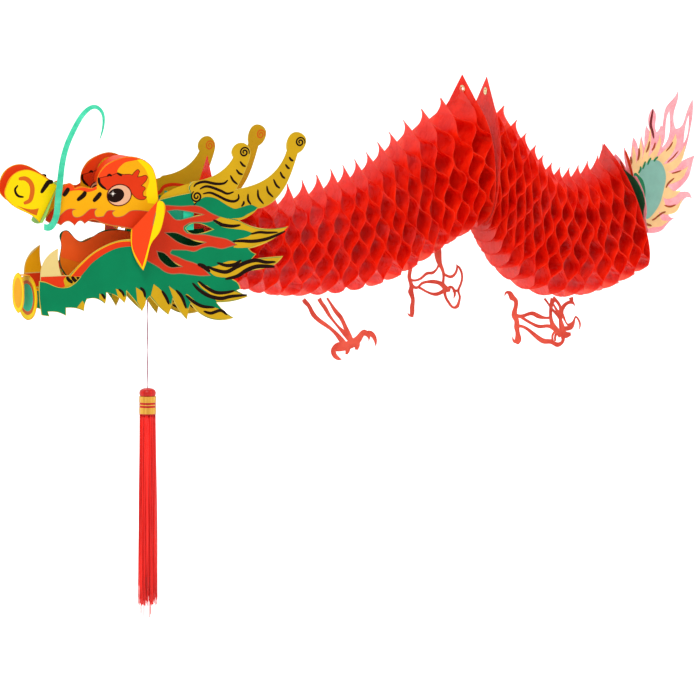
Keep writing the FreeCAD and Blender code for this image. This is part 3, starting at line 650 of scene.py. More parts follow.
SIDE_BEARD = [
    [(17, -104), (-7, -106), (-26, -99), (-41, -84)], [(-44, -92), (-46, -104)], [(-55, -94), (-65, -77)],
    [(-67, -86), (-71, -97)], [(-82, -88), (-96, -73)], [(-102, -80), (-106, -92)],
    [(-114, -80), (-127, -65)], [(-127, -72), (-130, -80)], [(-140, -71), (-154, -66)],
    [(-154, -72), (-156, -80)], [(-168, -73), (-180, -73)], [(-183, -80), (-184, -88)],
    [(-195, -84), (-208, -83)], [(-208, -93)], [(-220, -88), (-232, -87)], [(-230, -93)], [(-241, -91)],
    [(-244, -69), (-244, -48)],
]


def lens(left, top, right, bottom):
    """Strokes of an opening with two sharp ends."""
    return [[left] + top + [right], [right] + bottom + [left]]


SIDE_OPENINGS = [
    lens((-72, 33), [(-60, 34), (-42, 31)], (-24, 27), [(-42, 24), (-60, 22)]),
    lens((-48, 11), [(-40, 16), (-26, 15)], (-11, 8), [(-26, 4), (-42, 5)]),
    lens((-75, 6), [(-60, 5), (-42, -3)], (-21, -8), [(-37, -12), (-56, -7)]),
    lens((-86, -17), [(-76, -20), (-65, -30)], (-53, -37), [(-69, -37), (-82, -27)]),
]


def mane_flames():
    """Red flames of the mane, round the openings of the side card."""
    border = outline([
        [(-84, 41), (-75, 41), (-55, 39), (-36, 39), (-25, 36), (-14, 29), (-1, 23)],
        [(-9, 19), (-20, 17), (-33, 17.5), (-42, 17), (-50, 13)], [(-50, 9), (-46, 5)],
        [(-36, 3), (-22, 2), (-9, -1), (8, -5), (22, -13)],
        [(11, -15), (0, -17), (-14, -14), (-25, -15), (-36, -19), (-48, -17), (-66, -16)],
        [(-68, -20), (-59, -24)], [(-48, -29), (-36, -33), (-27, -38), (-14, -50)],
        [(-27, -50), (-41, -48), (-55, -46), (-66, -46), (-76, -43), (-86, -36), (-104, -26)],
        [(-112, -14), (-113, -3)], [(-97, -4), (-90, 17), (-84, 41)],
    ])
    holes = [outline(SIDE_OPENINGS[i]) for i in (0, 2, 3)]
    wider_holes = [inset(hole, -0.9) for hole in holes]
    return [layer("flame_rim", 2, border, *holes), layer("flame_red", 3, inset(border, 1.0), *wider_holes)]


def mane_top(plain=False):
    """Mustard horns and their collar, above the green band. The plain ones have only brown spirals."""
    border = outline(SIDE_HORNS + [
        [(49, 32), (40, 36), (29, 34), (18, 32), (7, 37), (-8, 46), (-22, 48), (-31, 43)],
        [(-35, 41), (-38, 43), (-41, 55)], [(-43, 62), (-38, 69)],
    ])
    layers = [layer("mustard", 2, inset(border, 0.8))]
    if plain:
        return layers + [layer("rust", 3, spiral((31, 103), 6.6, 1.8, 340, 1.9)),
                         layer("rust", 3, spiral((106, 113), 6.4, 1.8, 340, 1.9))]
    waves = [
        [(-37, 62), (-33, 66), (-22, 68), (-8, 65), (3, 65), (9, 69)],
        [(-29, 59), (-22, 62), (-14, 61), (-1, 56), (8, 52), (17, 54)],
        [(-25, 53), (-15, 54), (-5, 50), (7, 44), (17, 42), (23, 45), (23, 51)],
    ]
    layers += strokes("black", 3, waves, 3.4)
    hooks = [
        [(30, 42), (30, 39), (27, 35)], [(36, 51), (36, 43), (40, 37)], [(49, 56), (50, 46), (57, 37)],
        [(61, 60), (63, 52), (70, 45)], [(70, 68), (74, 60), (79, 56)], [(79, 77), (82, 71), (86, 68)],
        [(86, 86), (89, 82), (92, 80)], [(91, 95), (94, 91), (97, 90)], [(12, 75), (16, 68), (22, 63)],
        [(20, 82), (24, 77), (29, 75)], [(25, 92), (29, 87), (33, 85)],
    ]
    layers += strokes("black", 3, hooks, 3.0, 0.2)
    layers += [
        layer("black", 3, spiral((-33, 50), 7.5, 1.8, 120, 2.4)),
        layer("black", 3, spiral((31, 103), 6.8, 1.8, 340, 2.2)),
        layer("black", 3, spiral((106, 113), 6.6, 1.8, 340, 2.2)),
        layer("black", 3, brush([(-33, 43), (-35, 41), (-37, 39)], 1.6)),
    ]
    return layers


def mane_tips():
    """Mustard flame tips with black stripes, at the back of the side card."""
    tips = [
        [[(-2, 24), (8, 21), (17, 19), (24, 17)], [(41, 9), (60, 5), (89, 7)],
         [(68, -8), (38, -17)], [(24, -17), (16, -16)], [(18, -9), (20, -6), (34, -3), (42, 1)],
         [(31, 5), (18, 7), (2, 10), (-10, 17)], [(-2, 24)]],
        [[(-20, -39), (-14, -47), (-5, -52), (14, -54)], [(38, -45), (68, -40), (82, -30)],
         [(60, -31), (41, -32)], [(28, -34), (14, -32), (3, -34), (-8, -38), (-20, -39)]],
        [[(-33, -57), (-27, -65), (-16, -73), (-6, -83)], [(17, -82), (35, -78)], [(20, -71)],
         [(11, -70), (3, -73), (-8, -70), (-19, -62), (-33, -57)]],
        [[(-49, -73), (-41, -83)], [(-26, -98), (-7, -105), (16, -104)],
         [(4, -97), (-5, -91), (-22, -87), (-33, -82), (-45, -72), (-49, -73)]],
        [[(-71, -60), (-65, -76)], [(-55, -93), (-46, -103)],
         [(-44, -92), (-50, -84), (-57, -71), (-71, -60)]],
        [[(-91, -57), (-95, -72)], [(-82, -87), (-71, -96)],
         [(-67, -86), (-75, -73), (-82, -64), (-91, -57)]],
        [[(-115, -60), (-113, -79)], [(-106, -91)], [(-101, -80), (-104, -68), (-115, -60)]],
        [[(-142, -61), (-139, -71)], [(-130, -79)], [(-128, -72), (-134, -64), (-142, -61)]],
        [[(-164, -66), (-164, -73)], [(-156, -79)], [(-155, -72), (-164, -66)]],
        [[(-186, -74), (-194, -83)], [(-184, -87)], [(-183, -80), (-186, -74)]],
        [[(8, 21), (19, 19), (24, 18)], [(38, 23), (48, 31)],
         [(36, 26), (28, 22), (19, 21), (8, 21)]],
    ]
    stripes = [
        ([(39, 0), (51, 2), (62, 1), (76, 1)], 3.4),
        ([(15, -8), (28, -8), (41, -9), (54, -8), (67, -5), (86, 2)], 4.4),
        ([(-11, 20), (-4, 16), (2, 13), (15, 11), (26, 12)], 4.4),
        ([(-6, -34), (7, -38), (18, -37), (27, -32)], 4.4),
        ([(-19, -38), (-8, -43), (7, -46), (21, -40), (34, -35), (47, -33), (60, -36), (73, -36)], 5.2),
        ([(5, -55), (21, -52), (34, -45), (47, -41), (60, -41), (72, -42)], 5.4),
        ([(-32, -35), (-24, -38), (-15, -45)], 5.6),
        ([(-39, -58), (-30, -67), (-17, -75), (-1, -79), (13, -77), (35, -76)], 4.8),
        ([(-31, -56), (-21, -64), (-8, -71), (5, -72), (18, -70)], 4.4),
        ([(-48, -73), (-37, -82), (-25, -88), (-9, -90)], 4.2),
        ([(-24, -94), (-14, -97), (-1, -94), (8, -100)], 4.0),
        ([(-61, -66), (-53, -75), (-47, -90)], 4.2),
        ([(-80, -66), (-74, -75), (-70, -84)], 4.0),
        ([(-109, -61), (-104, -66), (-102, -74)], 3.8),
        ([(-138, -62), (-133, -66), (-130, -72)], 3.2),
        ([(-161, -67), (-158, -70), (-156, -74)], 3.2),
    ]
    layers = [layer("mustard", 2, inset(outline(tip), 0.35)) for tip in tips]
    return layers + [layer("black", 3, brush(points, width)) for points, width in stripes]


def jaw_lip():
    """Red lip with a yellow line along the upper edge of the lower jaw."""
    top = [(-203, -43.4), (-190, -30), (-172, -16), (-154, -7), (-136, -2), (-114, -2)]
    band = outline([top, [(-113, -9)],
                    [(-136, -10), (-154, -16), (-172, -27), (-181, -36), (-189, -44.5)], [top[0]]])
    line = outline([top, [(-114, -3.2)],
                    [(-136, -3.2), (-154, -8.2), (-172, -17.4), (-189, -31.4), (-201, -43.6)], [top[0]]])
    return [layer("lip_red", 2, band), layer("orange_yellow", 3, line)]


def gum():
    """Inner side of the jaw: yellow gum with slanted black stripes and a red rim."""
    top = [
        [(-243, -49), (-234, -51), (-220, -57), (-206, -58), (-196, -53), (-188, -45)], [(-203, -43.5)],
        [(-190, -30), (-172, -16), (-154, -7), (-136, -2), (-115, -2)],
    ]
    base = [(-140, -24), (-165, -40), (-190, -64), (-220, -66), (-243, -60)]
    rim = [(-140, -12), (-165, -27), (-184, -47), (-196, -60), (-220, -62), (-243, -54)]
    starts = [(-188, -58), (-180, -50), (-172, -42), (-162, -34), (-150, -26)]
    stripes = [[(x, z), (x + 5, z - 5), (x + 11, z - 9)] for x, z in starts]
    layers = [layer("orange_yellow", 4, outline(top + [[(-114, -20)], base, [(-243, -49)]])),
              layer("lip_red", 5, outline(top + [[(-114, -9)], rim, [(-243, -49)]]))]
    return layers + strokes("black", 6, stripes, 3.4)


def side_prints():
    """Green band, horns and mane outside. Inside, the far card shows its gum, collar and plain horns."""
    border = outline(SIDE_JAW + SIDE_HORNS + SIDE_FLAMES + SIDE_BEARD)
    holes = [inset(outline(opening), -0.6) for opening in SIDE_OPENINGS]
    green = layer("green", 1, inset(border, 0.7), *holes)
    outer = [green] + mane_top() + mane_flames() + mane_tips() + jaw_lip()
    collar = outline([[(-84, 46), (-78, 54), (-60, 62), (-41, 67)], [(-20, 70), (0, 60), (10, 40)],
                      [(-10, 45), (-22, 48), (-34, 44), (-62, 46), (-84, 46)]])
    streak = brush([(-82, 46), (-62, 50), (-44, 48), (-36, 55), (-22, 57), (-2, 54)], 4.6)
    inner = [green] + mane_top(True) + mane_tips() + gum()
    inner += [layer("mustard", 3, collar), layer("lip_red", 4, streak)]
    for side, name in SIDES:
        matrix = on_head(0, side * SIDE_Y, 0, side * SIDE_YAW)
        printed(f"side_print_{name}", matrix, outer, "head", faces=(side,))
        printed(f"side_inner_print_{name}", matrix, inner, "head", faces=(-side,))


FACE_OUTLINE = [
    [(-132, 23), (-128, 42), (-124, 58), (-121, 69)], [(-113, 72), (-107, 65)],
    [(-96, 67), (-86, 65), (-78, 68)],
    [(-76, 82), (-66, 94), (-52, 100), (-36, 103), (-19, 99), (-7, 90), (-1, 75), (2, 49)],
    [(1, 29), (-7, 8)], [(-29, 11), (-49, 15)], [(-61, 17), (-74, 21)], [(-84, 25), (-94, 20)],
    [(-100, 24), (-107, 18)], [(-116, 24), (-125, 19)], [(-132, 23)],
]


LONG_RAY, SHORT_RAY, RAY_NOTCH = 3.4, 2.2, 0.8      # of the glint in the eye


def face_prints():
    """Red lip, eyebrow, dome and eye on the yellow upper jaw."""
    border = outline(FACE_OUTLINE)
    lip = outline([
        [(-132, 24), (-129, 29), (-124, 34)], [(-119, 38), (-113, 40), (-105, 39)],
        [(-110, 37), (-109, 31), (-104, 29), (-97, 31), (-91, 36)], [(-86, 39), (-78, 39)],
        [(-81, 35), (-79, 29), (-70, 29)], [(-64, 36), (-54, 36)],
        [(-58, 33), (-54, 28), (-44, 29), (-34, 35), (-20, 35), (-4, 32)], [(-1, 28), (-8, 9)],
    ] + [[(x, z + 1) for x, z in stroke] for stroke in FACE_OUTLINE[5:]])
    brow = outline([
        [(-74, 77), (-65, 78.7), (-58, 80)], [(-51, 82.3)], [(-44, 80.3), (-37, 80.4), (-32, 79.2)],
        [(-29, 83), (-25, 85.8), (-23, 84)], [(-24.5, 80), (-26, 76.6)],
        [(-21, 77), (-15, 78.4), (-12.6, 76.3)], [(-15, 71.5), (-21, 65.8)], [(-16, 63.4), (-15.9, 61.2)],
        [(-18.6, 57.6), (-18.3, 52.6)], [(-14.3, 51.4)],
        [(-16.5, 49), (-22, 48.8), (-27, 51), (-32, 56), (-34.5, 60)],
        [(-37, 65), (-47, 68), (-54, 67), (-62, 62)], [(-68, 63.5), (-73, 70), (-74, 77)],
    ])
    dome = outline([
        [(-77, 70), (-75, 82), (-65, 93), (-51, 99.4), (-36, 102), (-21, 99.2)],
        [(-30, 97.7), (-40.6, 95.8), (-47, 91.5), (-51.3, 86.4), (-51.3, 82.3)], [(-65, 78.7), (-74, 77)],
        [(-77, 70)],
    ])
    temple = outline([
        [(-26, 98.5), (-19, 98), (-7.6, 89.4), (-1.8, 75), (1.2, 49)], [(0.6, 42)], [(-12, 44)],
        [(-14, 58), (-10, 72), (-15, 86), (-26, 98.5)],
    ])
    bridge = outline([
        [(-124, 57), (-121, 68)], [(-113, 71), (-107, 64)], [(-96, 66), (-86, 64), (-79, 67)],
        [(-79, 63), (-90, 60), (-100, 62.5), (-112, 62), (-118, 59), (-124, 57)],
    ])
    star = []
    for i in range(16):
        reach = (LONG_RAY if i % 4 == 0 else SHORT_RAY) if i % 2 == 0 else RAY_NOTCH
        angle = math.tau * i / 16
        star.append(Vector((-57.5 + 1.2 * reach * math.cos(angle), 57 + 1.2 * reach * math.sin(angle))))
    layers = [
        layer("orange_yellow", 1, inset(border, 0.7)),
        layer("yellow", 2, temple),
        layer("orange_red", 2, bridge),
        layer("orange_red", 2, dome),
        layer("flame_rim", 3, lip),
        layer("lip_red", 4, inset(lip, 0.6)),
        layer("brown", 3, inset(brow, -0.8)),
        layer("lip_red", 4, brow),
        layer("brown", 5, tilted((-49.2, 55), 16.4, 14.0, 6)),
        layer("rose", 6, tilted((-49.2, 55), 15.0, 12.6, 6)),
        layer("black", 7, tilted((-53.6, 54.8), 11.0, 8.6, 14)),
        layer("white", 8, star),
        layer("black", 5, brush([(-76, 78), (-75.5, 72), (-71.7, 66.8), (-66.4, 63)], 3.4)),
        layer("black", 5, brush([(-65, 79), (-62, 80.8), (-59, 79)], 2.8)),
        layer("black", 5, brush([(-52, 82.8), (-49, 81), (-45.6, 79)], 2.8)),
    ]
    dashes = [[(-115, 66), (-118, 61), (-122, 56)], [(-93, 61), (-96, 56), (-104, 50)],
              [(-73, 59), (-77, 54), (-83, 48)]]
    layers += strokes("black", 5, dashes, 5.8, 0.4)
    for side, name in SIDES:
        matrix = on_head(-85, side * FACE_Y, 0, side * FACE_YAW)
        printed(f"face_print_{name}", matrix, layers, "head")


def upper_teeth():
    """Two small teeth that hang from the far upper jaw, at the back of the mouth."""
    cream = outline([[(-124, 22), (-123, 13), (-118, 8)], [(-115, 14), (-114, 23)], [(-124, 22)]])
    yellow = outline([[(-114, 23), (-113, 13), (-107, 8), (-101, 12)], [(-100, 22)], [(-114, 23)]])
    layers = [layer("cream", 1, cream), layer("orange_yellow", 1, yellow)]
    printed("upper_teeth", on_head(0, FACE_Y, 0, FACE_YAW), layers, "head")


def nose_prints():
    border = outline([
        [(-35, 73), (-25, 87), (-7, 92), (11, 86), (25, 77), (36, 70)], [(11, 25)],
        [(-1, 35), (-25, 47), (-37, 61), (-35, 73)],
    ])
    inner = [layer("orange_red", 1, inset(border, 0.8))]
    curl = [(-18, 81), (-9, 81), (-2, 76), (1, 68), (0, 59), (-3, 53), (-11, 50)]
    outer = [
        layer("yellow", 1, inset(border, 0.8)),
        layer("rust", 2, brush(curl, 6.4, 0.4)),
        layer("black", 2, brush([(-19, 73), (-23, 68), (-21, 62), (-17, 59), (-11, 58)], 3.2, 0.4)),
        layer("rust", 2, outline([[(-21, 48), (-10, 44), (1, 42), (10, 43)], [(7, 34)],
                                  [(-3, 38), (-21, 48)]])),
        layer("black", 2, brush([(30, 75), (24, 75), (20, 71), (13, 62)], 6.4, 0.4)),
    ]
    for side, name, rise in ((-1, "left", -1.5), (1, "right", 4)):
        matrix = on_head(-246, side * NOSE_Y, rise)
        printed(f"nose_print_{name}", matrix, outer, "head", faces=(side,))
        printed(f"nose_inner_print_{name}", matrix, inner, "head", faces=(-side,))


def cheek_prints():
    border = outline([
        [(35, 49), (17, 29), (0, 12)], [(1, -13), (15, -39)],
        [(21, -20), (26, -4), (35, 8), (41, 27), (41, 46), (35, 49)],
    ])
    red = outline([
        [(33, 48), (17, 30), (1, 13)], [(2, -12), (14, -35)], [(19, -18), (25, 6), (30, 28), (33, 48)],
    ])
    layers = [
        layer("yellow", 1, inset(border, 0.5)),
        layer("orange_red", 2, red),
        layer("flame_rim", 3, brush([(31, 34), (29, 26), (27, 17)], 1.4)),
    ]
    for side, name in SIDES:
        matrix = on_head(-121, side * CHEEK_Y, 0, side * CHEEK_YAW)
        printed(f"cheek_print_{name}", matrix, layers, "head")


def tongue_prints():
    root = outline([
        [(-201, -12), (-202, -23), (-200, -34), (-192, -46)], [(-181, -44), (-133, -36), (-110, -38)],
        [(-110, -12)], [(-201, -12)],
    ])
    tongue = outline([
        [(-201, 0), (-198, 9), (-192, 10), (-185, 4), (-175, -4), (-164, -3), (-146, 6), (-121, 8),
         (-95, 3)], [(-95, -34)], [(-133, -34), (-168, -31), (-185, -27), (-201, -22)],
        [(-200, -12), (-201, 0)],
    ])
    layers = [layer("orange", 1, root), layer("tongue_red", 2, tongue)]
    printed("tongue_print", on_head(0, 0, 0), layers, "head")


def plate_oval(half_width, half_height, corner):
    """Oval through its four ends and four points between them."""
    x, z = corner
    return blob(mirrored([(0, -half_height), (x, -z), (half_width, 0), (x, z), (0, half_height)]))


def chin_prints():
    front = [layer("yellow", 1, plate_oval(15.2, 24.5, (10.8, 17.6))),
             layer("orange_yellow", 2, plate_oval(11.6, 19, (8, 13.6)))]
    printed("chin_front_print", on_head(-260, 0, -64), front, "head", across=True)
    rear = []
    for level, (ink, scale) in enumerate([("yellow", 0.97), ("rust", 0.78), ("teal", 0.62)]):
        egg = plate_oval(26.5 * scale, 28 * scale, (19.2 * scale, 20.2 * scale))
        rear.append(layer(ink, level + 1, egg))
    printed("chin_rear_print", on_head(-247.2, 0, -70.5), rear, "head", across=True)


def fang_prints():
    """The fangs stand on a strip of gum with a red rim and slanted black stripes."""
    tooth = outline([[(-12, -42), (-8, -25), (10.6, -9)], [(10.4, -25), (14.2, -42)], [(-12, -42)]])
    gums = outline([[(-12.4, -43), (14, -43), (30, -43), (43, -40)], [(41.4, -53.4)],
                    [(10, -61.4), (-12.4, -57.4)], [(-12.4, -43)]])
    rim = outline([[(-12.4, -43), (14, -43), (22, -43)], [(18, -48), (20, -56)],
                   [(4, -60), (-12.4, -57.4)], [(-12.4, -43)]])
    slashes = strokes("black", 4, [[(x, -44), (x + 3, -48), (x + 8, -52)] for x in (22, 29, 36)], 4.4, 0.4)
    for side, name in SIDES:
        matrix = on_head(-228, side * 24.4, 0, side * SIDE_YAW)
        layers = [layer("cream" if name == "left" else "orange_yellow", 1, tooth), layer("mustard", 2, gums),
                  layer("lip_red", 3, rim)] + slashes
        printed(f"fang_print_{name}", matrix, layers, "head")


def head_cards():
    """Base colours of the head's CAD cards. The rims show round the prints."""
    for side in ("left", "right"):
        paint(f"side_card_{side}", INKS["pale_mustard"])
        paint(f"face_card_{side}", INKS["orange"])
        paint(f"nose_card_{side}", INKS["orange_yellow"])
        paint(f"cheek_{side}", INKS["orange_yellow"])
    paint("crown_band", INKS["orange_red"])
    paint("snout_plate", INKS["light_green"])
    # Painted shade: the tongue card is dark green, for the far card's green inner face in shade that the
    # mane's openings show.
    paint("tongue_card", INKS["dark_green"])
    paint("chin_plate_front", INKS["orange_yellow"])
    paint("chin_plate_rear", INKS["orange_yellow"])
    paint("fangs", INKS["cream"])
    paint("neck_brace", INKS["teal"])
    side_prints()
    face_prints()
    nose_prints()
    cheek_prints()
    tongue_prints()
    chin_prints()
    fang_prints()
    upper_teeth()


# ---------------------------------------------------------------- tassel

CORD_X = HEAD.x - 80
CORD_TOP, CORD_END = HEAD.z - 45, HEAD.z - 191.4    # mm
STRAND_RADIUS, STRAND_TWIST = 0.4, 0.35             # mm, and radians from one point of the route to the next
TURNED_SIDES = 40
WINDINGS_HEIGHT = 23.2                              # mm
SKIRT_LENGTH = 236                                  # mm
SKIRT_THREADS, THREAD_STEPS = 230, 14
STRAY_EVERY = 23                                    # one thread in so many hangs lower than the rest
GOLDEN_ANGLE = 2.39996                              # spreads the threads evenly over the bundle, radians


def tube(path, radius, sides=6):
    """Vertices and faces of a hanging tube along the path, closed at both ends."""
    vertices = []
    for i, point in enumerate(path):
        along = direction(path, i)
        first = Vector((1, 0, 0))
        first = (first - along * first.dot(along)).normalized()
        vertices += circle(point, first, along.cross(first), radius, sides)
    faces = quads(0, len(path), sides, True)
    faces.append(tuple(range(sides - 1, -1, -1)))
    faces.append(tuple(range(len(vertices) - sides, len(vertices))))
    return vertices, faces


def joined(pieces):
    """One list of vertices and faces from several."""
    vertices, faces = [], []
    for points, polygons in pieces:
        base = len(vertices)
        vertices += points
        faces += [tuple(base + i for i in polygon) for polygon in polygons]
    return vertices, faces


def cord_route():
    """The cord's straight hanging line, read back from its own spline."""
    curve = bpy.data.curves.new("cord_route", "CURVE")
    curve.dimensions = "3D"
    spline = curve.splines.new("NURBS")
    places = [CORD_TOP, (CORD_TOP + CORD_END) / 2, CORD_END]
    spline.points.add(len(places) - 1)
    for point, z in zip(spline.points, places):
        point.co = (CORD_X * MM, 0, z * MM, 1)
    spline.order_u = 3
    spline.use_endpoint_u = True
    curve.resolution_u = 16
    obj = bpy.data.objects.new("cord_route", curve)
    line = bpy.data.meshes.new_from_object(obj)
    points = [v.co.copy() for v in line.vertices]
    bpy.data.meshes.remove(line)
    bpy.data.objects.remove(obj)
    bpy.data.curves.remove(curve)
    return points


def turned(name, profile, colours, materials):
    """Solid of revolution about the tassel's axis. profile is (radius, z) in mm, and colours has the
    index of the material of each row of faces."""
    vertices = []
    for radius, z in profile:
        for i in range(TURNED_SIDES):
            angle = math.tau * i / TURNED_SIDES
            vertices.append(Vector((CORD_X + radius * math.cos(angle), radius * math.sin(angle), z)) * MM)
    faces = quads(0, len(profile), TURNED_SIDES, True)
    obj = mesh_object(name, vertices, faces, materials, [i for i in colours for side in range(TURNED_SIDES)])
    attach(obj, "tassel")
    return obj


def tassel():
    """Two-strand cord, knob, gold and red windings, and the skirt of threads."""
    route = cord_route()
    strands = []
    for start in (0.0, math.pi):
        path = []
        for i, point in enumerate(route):
            angle = start + STRAND_TWIST * i
            path.append(point + Vector((math.cos(angle), math.sin(angle), 0)) * STRAND_RADIUS * MM)
        strands.append(tube(path, STRAND_RADIUS * MM))
    cord = mesh_object("tassel_strands", *joined(strands), [PINK_THREAD])
    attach(cord, "cord")
    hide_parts("tassel_cord")

    cap_top = CORD_END - 0.4
    knob = [(0.4, 0.3), (3, 0), (6.5, -0.9), (9.2, -2.6), (10.5, -5.4), (10.4, -7.6), (9.6, -9.8)]
    knob = [(radius, cap_top + rise) for radius, rise in knob]
    cap = turned("tassel_knob", knob, [0] * (len(knob) - 1), [CAP_THREAD])
    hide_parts("tassel_cap")

    z = CORD_END - 10.6
    profile, colours = [(9.4, z)], []
    gold, red = 0, 1
    # Windings from the top down: colour, number of turns and radius of the turns.
    windings = [(gold, 6, 10.6), (red, 2, 10.2), (gold, 1, 10.6), (red, 2, 10.2), (gold, 6, 10.6),
                (red, 1, 10.2)]
    pitch = WINDINGS_HEIGHT / sum(turns for colour, turns, radius in windings)
    for colour, turns, radius in windings:
        for i in range(turns):
            for lift, drop in ((0.0, 0.08), (0.3, 0.3), (0.3, 0.7), (0.0, 0.92)):
                profile.append((radius + lift, z - pitch * drop))
                colours.append(colour)
            z -= pitch
    bands = turned("tassel_windings", profile, colours, [GOLD_THREAD, CAP_THREAD])
    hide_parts("tassel_bands")

    skirt = skirt_threads(z)
    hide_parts("tassel_skirt")


def skirt_threads(top):
    """Hanging threads: a full bundle at the neck that loosens towards an uneven hem."""
    chooser = random.Random(4)
    pieces = []
    for i in range(SKIRT_THREADS):
        ring_share = math.sqrt((i + 0.5) / SKIRT_THREADS)
        angle = i * GOLDEN_ANGLE + chooser.uniform(-0.2, 0.2)
        reach = chooser.uniform(0.90, 1.02)
        stray = i % STRAY_EVERY == 0
        drop = SKIRT_LENGTH * reach + (chooser.uniform(6, 22) if stray else 0)
        start_radius = 9.9 * ring_share
        end_radius = 12.0 * ring_share + chooser.uniform(-1.2, 1.0)
        wave = chooser.uniform(0, math.tau)
        size = chooser.uniform(0.2, 0.75)
        path = []
        for step in range(THREAD_STEPS + 1):
            share = step / THREAD_STEPS
            radius = start_radius + (end_radius - start_radius) * share
            sway = size * share * math.sin(wave + 5.5 * share)
            turn = angle + 0.05 * math.sin(wave + 3 * share)
            x = CORD_X + radius * math.cos(turn) + sway
            y = radius * math.sin(turn) + size * share * math.cos(wave * 1.7 + 4.3 * share)
            path.append(Vector((x, y, top - drop * share)) * MM)
        pieces.append(tube(path, chooser.uniform(0.42, 0.62) * MM, 4))
    core = [Vector((CORD_X, 0, top - SKIRT_LENGTH * 0.86 * (step / 5))) * MM for step in range(6)]
    pieces.append(tube(core, 8.6 * MM, 14))
    skirt = mesh_object("tassel_threads", *joined(pieces), [RED_THREAD])
    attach(skirt, "tassel")
    return skirt


# ---------------------------------------------------------------- feet, tail and the rest

CROSS_BEHIND = 11.5         # how far the cross flame stands behind the tail board, mm


def film_nodes():
    """Film and metal of the CAD pieces that stay as they are."""
    for end in ("front", "rear"):
        paint(f"foot_{end}_left", FOOT_FILM)
        paint(f"foot_{end}_right", FOOT_FILM)
        paint(f"ridge_board_{end}", BOARD_FILM)
        paint(f"ridge_eyelet_{end}", BRASS)
    paint("neck_board", BOARD_FILM)
    paint("tail_board", BOARD_FILM)
    paint("tail_flame_main", TAIL_FILM)
    paint("tail_flame_cross", TAIL_FILM)
    paint("whisker", TEAL_FILM)


def tail_prints():
    """Flame tongues, teal heart and stripes of the main plate, then the cross plate behind the board."""
    inner = outline([
        [(2, 40), (4, 52), (9, 60), (12, 66), (13, 86)], [(17, 76), (18, 62)], [(21, 76), (24, 93)],
        [(27, 80), (26, 66)], [(30, 80), (35, 92), (38, 108)], [(39, 92), (35, 70)],
        [(44, 80), (50, 92), (51, 98)], [(53, 86), (46, 68)], [(56, 76), (66, 84), (74, 98)],
        [(75, 86), (68, 72), (56, 60)], [(66, 62), (78, 70), (88, 84)], [(84, 66), (74, 54), (63, 50)],
        [(72, 48), (84, 52), (92, 56)], [(84, 42), (72, 36), (61, 34)], [(70, 26), (82, 26)],
        [(72, 18), (62, 16), (56, 18)], [(62, 6), (76, 8), (84, 16)], [(76, 0), (62, -4), (50, 0)],
        [(54, -10), (64, -12)], [(54, -18), (42, -19), (34, -20), (25, -17)], [(18, -6)],
        [(10, 12), (2, 40)],
    ])
    teal = blob([(22, 48), (29, 60), (40, 66), (51, 64), (58, 54), (60, 42), (57, 28), (52, 12), (44, 0),
                 (34, -8), (24, -4), (20, 20)])
    green = blob([(13, 46), (17, 51), (22, 47), (28, 40), (31, 26), (29, 8), (25, -4), (20, 4), (14, 24)])
    twist = brush([(42, 131), (39.5, 119), (38.5, 110), (41, 102), (43, 93)], 3.6, 0.2)
    layers = [layer("cream", 1, inner), layer("teal", 2, teal), layer("dark_green", 3, green)]
    layers.append(layer("dark_red", 1, twist))
    dashes = [
        [(21, 50), (24, 55), (24, 59)], [(27, 55), (29, 60), (31, 65)], [(34, 60), (36, 65), (39, 69)],
        [(43, 64), (45, 67), (49, 70)], [(26, -10), (25, -14), (26, -20)],
    ]
    layers += strokes("dark_green", 4, dashes, 2.8)
    streaks = [
        ([(9, 60), (11, 65), (10, 72)], 3.2), ([(20, 66), (22, 74), (22, 82)], 3.0),
        ([(32, 76), (35, 82), (37, 90)], 2.6), ([(40, 78), (43, 82), (45, 88)], 2.6),
        ([(60, 76), (66, 82), (70, 88)], 2.2), ([(62, 62), (70, 68), (78, 76)], 2.0),
        ([(68, 48), (75, 49), (82, 51)], 2.0), ([(60, 30), (64, 36), (72, 42)], 2.6),
        ([(58, 8), (66, 6), (74, 8)], 2.6), ([(48, -6), (54, -2), (60, 0)], 2.6),
        ([(40, -10), (45, -8), (50, -4)], 2.4), ([(30, -12), (34, -15), (40, -17)], 3.0),
    ]
    layers += [layer("brown", 2, brush(points, width)) for points, width in streaks]
    printed("tail_print_main", plane_matrix(TAIL), layers, "tail_flame", palette=TAIL_INKS,
            thickness=FILM_PLATE)

    heart = blob(mirrored([(0, -37), (20, -28), (34, 0), (47, 16), (47, 32), (38, 46), (20, 54), (0, 60)]))
    slot = [Vector(corner) for corner in ((-1.3, -12.8), (1.3, -12.8), (1.3, 12.8), (-1.3, 12.8))]
    flames = []
    for side in (-1, 1):
        for foot, tip, width in (((31, 48), (30.5, 84), 8), ((12, 50), (8, 68), 7)):
            middle = ((foot[0] + tip[0]) / 2 + 1.5, (foot[1] + tip[1]) / 2)
            points = [(side * x, y) for x, y in (foot, middle, tip)]
            flames.append(layer("orange", 1, brush(points, width, 0.12)))
    behind = Matrix.Rotation(math.radians(TAIL_LEAN), 4, "Y") @ Vector((CROSS_BEHIND, 0, 0))
    printed("tail_print_cross", plane_matrix(TAIL + behind, 0, TAIL_LEAN),
            flames + [layer("dark_green", 2, heart, slot)], "tail_flame", across=True,
            palette=TAIL_INKS, thickness=FILM_PLATE)


# ---------------------------------------------------------------- camera, lights and floor

CAMERA_DISTANCE, FRAME_WIDTH = 40.0, 0.877      # FRAME_WIDTH is what the picture spans at the dragon
LOOK_RIGHT, LOOK_UP = -0.1413, -0.3275          # middle of the picture, from the front eyelet
FLOOR_REACH, FLOOR_LEVEL = 60.0, -1.25


